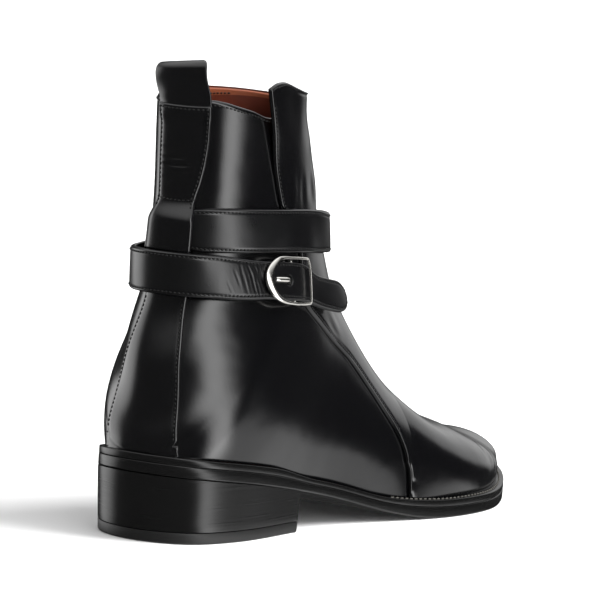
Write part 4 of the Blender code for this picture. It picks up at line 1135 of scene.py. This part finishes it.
class BOOT_OT_strap(bpy.types.Operator):
    """Long strap wound round the ankle, with stitched edges, creases and the prong's hole"""
    bl_idname = "boot.strap"
    bl_label = "Strap"

    def execute(self, context):
        middle, width, off_low, off_high = (smooth(STRAP, k) for k in (1, 2, 3, 4))
        a = np.concatenate([np.linspace(STRAP[0][0], 386, 400), np.linspace(386.3, 434, 160),
                            np.linspace(434.8, 504, 70), np.linspace(504.6, STRAP[-1][0], 60)])
        z, w = middle(a), width(a)
        run = on_strap(a, z, off_low(a))
        left = lengths(run[::-1])[::-1]
        w = w * np.sqrt(np.clip(1 - (1 - np.clip(left / TIP_ROUND, 0, 1))**2, .0004, 1))
        low, high = on_strap(a, z - w / 2, off_low(a)), on_strap(a, z + w / 2, off_high(a))

        def soften(p, times=14):
            for _ in range(times):
                p[1:-1] = (p[:-2] + 2 * p[1:-1] + p[2:]) / 4
            return p
        low, high = soften(low), soften(high)
        forward = np.gradient((low + high) / 2, axis=0)
        away = np.cross(forward, high - low)
        outward = (run - (LEG_AXIS_X, 0, 0)) * (1, 1, 0)
        away *= np.sign((away * outward).sum(1))[:, None]
        away = soften(unit(away))
        edge = np.array([.77, .82, .87, .91, .945, .975, 1])
        across = np.concatenate([-edge[::-1], np.linspace(-.72, .72, 33), edge])
        mid, reach = (low + high) / 2, (high - low) / 2
        size = np.linalg.norm(reach, axis=1)
        along = lengths(mid)
        depth = (1 - np.abs(across))[None] * size[:, None]
        body = STRAP_EDGE + (STRAP_THICK - STRAP_EDGE) * rounded(depth, STRAP_ROUND)
        body = body - groove(depth, STRAP_SEAM, STRAP_GROOVE) + STRAP_CROWN * (1 - across**2)[None]
        for a0, c0, a1, c1, half, deep in STRAP_CREASES:
            u = np.linspace(0, 1, 20)
            line = np.stack([np.interp(a0 + (a1 - a0) * u, a, along),
                             (c0 + (c1 - c0) * u) * CREASE_HALF, 0 * u], 1)
            here = np.stack(np.broadcast_arrays(along[:, None], across[None] * CREASE_HALF, 0.0), -1)
            d, share = nearest(here, [line])
            body = body + trough(d, share, half, deep, .5, 2)
        face = mid[:, None] + reach[:, None] * across[None, :, None] + away[:, None] * body[..., None]
        below = UNDER_EDGE * (1 - rounded(depth[:, ::-1], UNDER_ROUND))
        back = mid[:, None] + reach[:, None] * across[None, ::-1, None] + away[:, None] * below[..., None]
        strap = loft("calf_strap", np.concatenate([face, back], 1), [strap_calf()])
        spot = np.array([HOLE_ANGLE])
        inner, outer = (on_strap(spot, middle(spot), d)[0] for d in HOLE_REACH)
        cutter = tube("prong_hole", np.linspace(inner, outer, 3), HOLE_RADIUS, [strap_calf()], sides=28)
        cut = strap.modifiers.new("hole", "BOOLEAN")
        cut.operation, cut.solver, cut.object = "DIFFERENCE", "EXACT", cutter
        plain(strap)
        bpy.data.objects.remove(cutter, do_unlink=True)
        settle(strap, "strap_calf", "strap")
        keep = np.flatnonzero(left > 2.2)
        off = reach[keep] * (1 - STRAP_SEAM / np.maximum(size[keep], 1.9))[:, None]
        top = mid[keep] + away[keep] * (STRAP_THICK + STRAP_SIT)
        stitch("upper", np.concatenate([top - off, (top + off)[::-1]]),
               np.concatenate([away[keep], away[keep][::-1]]))
        return {"FINISHED"}


class BOOT_OT_buckle(bpy.types.Operator):
    """Plated D buckle with its pin and prong"""
    bl_idname = "boot.buckle"
    bl_label = "Buckle"

    def execute(self, context):
        span = on_strap(np.array([BUCKLE_ANGLE - 5, BUCKLE_ANGLE + 5]), np.full(2, BUCKLE_HEIGHT), 5.0)
        per_degree = np.linalg.norm(span[1] - span[0]) / 10

        def place(along, across, distance):
            along = np.asarray(along, float)
            height = BUCKLE_HEIGHT + across + BUCKLE_SLOPE * along
            return on_strap(BUCKLE_ANGLE + along / per_degree, height, distance)
        half = np.array(BUCKLE, float)
        ring = np.concatenate([half, half[-2:0:-1] * (1, -1, 1, 1)])
        closed = np.concatenate([ring[-4:], ring, ring[:4]])
        curve = spline(np.arange(-4, len(ring) + 4), closed)(np.linspace(0, len(ring), 161)[:-1])
        nickel = [polished_nickel()]
        wire, above = place(*curve.T[:3]), place(*(curve.T[:3] + [[0], [0], [.6]]))
        up = unit(above - wire)
        side = np.cross(unit(np.roll(wire, -1, 0) - np.roll(wire, 1, 0)), up)
        side *= np.sign((side * (wire - wire.mean(0))).sum(1))[:, None]
        up = (up + DOME * side) / np.sqrt(1 + DOME**2)
        side = unit(side - DOME * up)
        angle = np.arange(20) * np.pi / 10
        wide, tall = (np.sign(f(angle)) * np.abs(f(angle))**WIRE_SQUARE for f in (np.cos, np.sin))
        rings = [p + w * np.outer(wide, v) + min(w, WIRE_TALL) * np.outer(tall, n)
                 for p, w, v, n in zip(wire, curve[:, 3], side, up)]
        settle(loft("nickel_frame", rings, nickel, round_trip=True), "buckle_metal", "buckle_frame")
        pin = sweep(PIN, 60)
        path = place(np.full(len(pin), PIN_PLACE), pin[:, 0], pin[:, 1])
        settle(tube("nickel_pin", path, PIN_RADIUS, nickel), "buckle_metal", "buckle_pin")
        prong = sweep(PRONG, 60)
        path = place(prong[:, 0], 0 * prong[:, 0], prong[:, 1])
        radius = np.interp(np.linspace(0, 1, len(prong)), *zip(*PRONG_RADIUS))
        settle(tube("nickel_prong", path, radius, nickel), "buckle_metal", "buckle_prong")
        return {"FINISHED"}


class BOOT_OT_loop(bpy.types.Operator):
    """Pull loop over the collar's back edge"""
    bl_idname = "boot.loop"
    bl_label = "Pull loop"

    def execute(self, context):
        path = sweep(LOOP, 90)
        foot = skin(np.array([BACKSTAY_TOP]), np.array([1.0]))[0]
        edge = np.array([.8, .86, .91, .945, .97, .985, .995, 1])
        across = np.concatenate([-edge[::-1], np.linspace(-.7, .7, 15), edge])
        mid = []
        for rise, away, half, lean in path:
            y = across * half + lean
            z = foot[2] + rise
            angle = np.degrees(np.arctan2(-y, LEG_AXIS_X - foot[0] - np.abs(y) * LOOP_DRAW))
            s, q = on_leg(angle, np.full(len(y), min(z, LOOP_LEG_TOP)))
            p = skin(s, q)
            flat = LOOP_FLAT * ease((rise - LOOP_FLAT_START) / LOOP_FLAT_RUN)
            x = p[:, 0] * (1 - flat) + flat * (foot[0] + LOOP_FLAT_IN)
            mid.append(np.column_stack([x - away, p[:, 1], z - LOOP_TILT * y * ease(rise / LOOP_TILT_RISE)]))
        mid = np.array(mid)
        n = unit(np.cross(np.gradient(mid, axis=0), np.gradient(mid, axis=1)))
        n *= -np.sign(n[0, len(across) // 2, 0])
        depth = (1 - np.abs(across))[None] * path[:, 2:3]
        body = LOOP_THICK * rounded(depth, LOOP_ROUND)[..., None]
        near, far = (mid + n * (LOOP_THICK + hand * body) / 2 for hand in (-1, 1))
        settle(shell("calf_pull_loop", mid, near, far, [polished_calf(), polished_calf()]),
               "strap_calf", "pull_loop")
        return {"FINISHED"}


def thread_tree():
    """Geometry nodes that sew a stitch at every pitch along lines, lying on the leather."""
    tree = bpy.data.node_groups.new("thread_row", "GeometryNodeTree")
    tree.interface.new_socket("Lines", in_out="INPUT", socket_type="NodeSocketGeometry")
    for label in ("Pitch", "Length", "Width"):
        tree.interface.new_socket(label, in_out="INPUT", socket_type="NodeSocketFloat")
    tree.interface.new_socket("Thread", in_out="INPUT", socket_type="NodeSocketMaterial")
    tree.interface.new_socket("Stitches", in_out="OUTPUT", socket_type="NodeSocketGeometry")
    given = add(tree, "NodeGroupInput").outputs
    line = add(tree, "GeometryNodeMeshToCurve", {"Mesh": given["Lines"]})
    spots = add(tree, "GeometryNodeResampleCurve", {"Curve": line.outputs["Curve"], "Length": given["Pitch"]},
                mode="LENGTH")
    up = add(tree, "GeometryNodeInputNamedAttribute", {"Name": "outward"}, data_type="FLOAT_VECTOR")
    ahead = add(tree, "GeometryNodeInputTangent")
    turned = add(tree, "FunctionNodeAxesToRotation", {"Primary Axis": up.outputs["Attribute"],
                                                      "Secondary Axis": ahead.outputs["Tangent"]},
                 primary_axis="Z", secondary_axis="X")
    bead = add(tree, "GeometryNodeMeshUVSphere", {"Segments": 6, "Rings": 5, "Radius": .5})
    size = add(tree, "ShaderNodeCombineXYZ", {"X": given["Length"], "Y": given["Width"], "Z": given["Width"]})
    sewn = add(tree, "GeometryNodeInstanceOnPoints", {"Points": spots.outputs["Curve"],
                                                      "Instance": bead.outputs["Mesh"],
                                                      "Rotation": turned.outputs["Rotation"],
                                                      "Scale": size.outputs["Vector"]})
    soft = add(tree, "GeometryNodeSetShadeSmooth", {"Geometry": sewn.outputs["Instances"]})
    real = add(tree, "GeometryNodeRealizeInstances", {"Geometry": soft.outputs["Geometry"]})
    dressed = add(tree, "GeometryNodeSetMaterial", {"Geometry": real.outputs["Geometry"],
                                                    "Material": given["Thread"]})
    add(tree, "NodeGroupOutput", {"Stitches": dressed.outputs["Geometry"]})
    return tree


class BOOT_OT_stitching(bpy.types.Operator):
    """All rows of stitches, sewn by geometry nodes along the lines the pieces left"""
    bl_idname = "boot.stitching"
    bl_label = "Stitching"

    def execute(self, context):
        sizes = context.scene.boot_sizes
        tree = thread_tree()
        plan = (("upper", "upper_thread", "upper_calf", waxed_thread(),
                 sizes.stitch_pitch, sizes.stitch_length, sizes.stitch_width),
                ("welt", "welt_thread", "sole_leather", linen_thread(),
                 sizes.welt_pitch, sizes.welt_pitch * .8, sizes.welt_width))
        for kind, name, slot, thread, pitch, long, wide in plan:
            rows = [(p, n) for k, p, n in stitch_rows if k == kind]
            if not rows:
                raise RuntimeError(f"no rows of kind {kind}: make the pieces first")
            mesh = bpy.data.meshes.new(name)
            points = np.concatenate([p for p, _ in rows])
            starts = np.cumsum([0] + [len(p) for p, _ in rows])
            edges = [(i, i + 1) for a, b in zip(starts[:-1], starts[1:]) for i in range(a, b - 1)]
            mesh.from_pydata(((points - CENTRE) * MM).tolist(), edges, [])
            outward = mesh.attributes.new("outward", "FLOAT_VECTOR", "POINT")
            ups = np.concatenate([n for _, n in rows]).astype(np.float32)
            outward.data.foreach_set("vector", ups.ravel())
            item = put(name, mesh)
            sewing = item.modifiers.new("sewing", "NODES")
            sewing.node_group = tree
            values = {"Pitch": pitch, "Length": long, "Width": wide, "Thread": thread}
            for socket in tree.interface.items_tree:
                if socket.in_out == "INPUT" and socket.name in values:
                    sewing[socket.identifier] = values[socket.name]
            settle(plain(item), slot)
        return {"FINISHED"}


class BOOT_OT_stage(bpy.types.Operator):
    """Pale floor, soft studio light and the camera"""
    bl_idname = "boot.stage"
    bl_label = "Stage"

    def execute(self, context):
        scene = context.scene
        scene.view_settings.view_transform = "Standard"
        turned, rise, roll = (radians(v) for v in (CAMERA_TURN, CAMERA_RISE, CAMERA_ROLL))
        back = np.array([-np.sin(turned) * np.cos(rise), -np.cos(turned) * np.cos(rise), np.sin(rise)])
        right = np.array([np.cos(turned), -np.sin(turned), 0])
        up = np.cross(back, right)
        tilted = right * np.cos(roll) + up * np.sin(roll), up * np.cos(roll) - right * np.sin(roll)
        lens = bpy.data.cameras.new("camera")
        lens.sensor_width = SENSOR
        lens.lens = CAMERA_SCALE * CAMERA_AWAY / MM / PICTURE * SENSOR
        lens.shift_x = (PICTURE / 2 - CAMERA_AXIS[0]) / PICTURE
        lens.shift_y = (CAMERA_AXIS[1] - PICTURE / 2) / PICTURE
        lens.clip_start, lens.clip_end = .05, 200
        camera = put("camera", lens)
        place = Matrix(np.column_stack([*tilted, back]).tolist()).to_4x4()
        place.translation = Vector(CAMERA_AIM) + Vector(back) * CAMERA_AWAY
        camera.matrix_world = place
        scene.camera = camera

        mesh = bpy.data.meshes.new("floor")
        corners = [(x * FLOOR_HALF, y * FLOOR_HALF, 0) for x, y in ((-1, -1), (1, -1), (1, 1), (-1, 1))]
        mesh.from_pydata(corners, [], [(0, 1, 2, 3)])
        mesh.materials.append(matt_paper())
        floor = put("floor", mesh)
        floor.visible_glossy = floor.visible_shadow = False

        flat_back = np.array([-np.sin(turned), -np.cos(turned), 0])

        def toward(azimuth, elevation):
            """Direction seen from the boot: azimuth 0 to the camera, 90 to the picture's right."""
            a, e = radians(azimuth), radians(elevation)
            level = (flat_back * np.cos(a) + right * np.sin(a)) * np.cos(e)
            return Vector(level + np.array([0, 0, np.sin(e)]))

        azimuth, elevation, away, wide, radiance = SIDE_LIGHT
        box = bpy.data.lights.new("side_light", "AREA")
        box.shape, box.size = "SQUARE", wide
        box.energy = radiance * 4 * wide * wide
        lamp = put("side_light", box)
        direction = toward(azimuth, elevation)
        lamp.location = Vector(SIDE_AIM) + direction * away
        lamp.rotation_euler = direction.to_track_quat("Z", "Y").to_euler()
        lamp.visible_camera = lamp.visible_glossy = False
        azimuth, elevation, fill, strength = OVERHEAD
        sun = bpy.data.lights.new("overhead", "SUN")
        sun.energy, sun.angle = strength, radians(fill)
        top = put("overhead", sun)
        top.rotation_euler = toward(azimuth, elevation).to_track_quat("Z", "Y").to_euler()
        top.visible_glossy = False

        world = bpy.data.worlds.new("studio")
        world.use_nodes = True
        scene.world = world
        tree = world.node_tree
        shade = tree.nodes["Background"]
        ray = add(tree, "ShaderNodeTexCoord").outputs["Generated"]
        light = None
        for azimuth, elevation, edge, core, radiance in LOBES:
            facing = add(tree, "ShaderNodeVectorMath", {0: ray, 1: tuple(toward(azimuth, elevation))},
                         operation="DOT_PRODUCT")
            lobe = add(tree, "ShaderNodeMapRange", {"Value": facing.outputs["Value"], "From Min": edge,
                                                    "From Max": core, "To Min": 0.0, "To Max": radiance},
                       interpolation_type="SMOOTHSTEP")
            light = add(tree, "ShaderNodeMath", {0: light.outputs["Value"] if light else ROOM_DARK,
                                                 1: lobe.outputs["Result"]}, operation="ADD")
        azimuth, elevation, lean, end, full, far_end, far_full, radiance = STRIP
        lean = radians(lean)
        pole = toward(azimuth + 90, 0) * np.cos(lean) + toward(azimuth, elevation + 90) * np.sin(lean)
        apart = add(tree, "ShaderNodeVectorMath", {0: ray, 1: tuple(pole)}, operation="DOT_PRODUCT")
        apart = add(tree, "ShaderNodeMath", {0: apart.outputs["Value"]}, operation="ABSOLUTE")
        across = add(tree, "ShaderNodeMapRange", {"Value": apart.outputs["Value"], "To Min": radiance,
                                                  "To Max": 0.0, "From Min": np.sin(radians(full)),
                                                  "From Max": np.sin(radians(end))},
                     interpolation_type="SMOOTHSTEP")
        facing = add(tree, "ShaderNodeVectorMath", {0: ray, 1: tuple(toward(azimuth, elevation))},
                     operation="DOT_PRODUCT")
        along = add(tree, "ShaderNodeMapRange", {"Value": facing.outputs["Value"], "To Min": 0.0,
                                                 "To Max": 1.0, "From Min": np.cos(radians(far_end)),
                                                 "From Max": np.cos(radians(far_full))},
                    interpolation_type="SMOOTHSTEP")
        light = add(tree, "ShaderNodeMath", {0: across.outputs["Result"], 1: along.outputs["Result"],
                                             2: light.outputs["Value"]}, operation="MULTIPLY_ADD")
        seen = add(tree, "ShaderNodeLightPath")
        dim = add(tree, "ShaderNodeMath", {0: seen.outputs["Is Diffuse Ray"], 1: DIFFUSE_SHARE - 1, 2: 1.0},
                  operation="MULTIPLY_ADD")
        light = add(tree, "ShaderNodeMath", {0: light.outputs["Value"], 1: dim.outputs["Value"]},
                    operation="MULTIPLY")
        level = add(tree, "ShaderNodeMix", {"Factor": seen.outputs["Is Camera Ray"], "B": 1.0,
                                            "A": light.outputs["Value"]}, data_type="FLOAT")
        tree.links.new(level.outputs["Result"], shade.inputs["Strength"])
        shade.inputs["Color"].default_value = (1, 1, 1, 1)
        return {"FINISHED"}


OPERATORS = (BOOT_OT_stage, BOOT_OT_sole, BOOT_OT_heel, BOOT_OT_insole, BOOT_OT_upper, BOOT_OT_panel,
             BOOT_OT_backstay, BOOT_OT_strap, BOOT_OT_buckle, BOOT_OT_loop, BOOT_OT_stitching)


class BOOT_PT_sidebar(bpy.types.Panel):
    """Sizes, colours and pieces of the boot"""
    bl_idname = "BOOT_PT_sidebar"
    bl_label = "Strap boot"
    bl_space_type = "VIEW_3D"
    bl_region_type = "UI"
    bl_category = "Boot"

    def draw(self, context):
        for group in (context.scene.boot_sizes, context.scene.boot_colours):
            for key in group.__annotations__:
                self.layout.prop(group, key)
        for operator in OPERATORS:
            self.layout.operator(operator.bl_idname)


CLASSES = (BootSizes, BootColours, *OPERATORS, BOOT_PT_sidebar)


def register():
    for item in CLASSES:
        bpy.utils.register_class(item)
    bpy.types.Scene.boot_sizes = PointerProperty(type=BootSizes)
    bpy.types.Scene.boot_colours = PointerProperty(type=BootColours)


def unregister():
    del bpy.types.Scene.boot_sizes, bpy.types.Scene.boot_colours
    for item in reversed(CLASSES):
        bpy.utils.unregister_class(item)


def main():
    register()
    for operator in OPERATORS:
        getattr(bpy.ops.boot, operator.bl_idname.split(".")[1])()


if __name__ == "__main__":
    main()
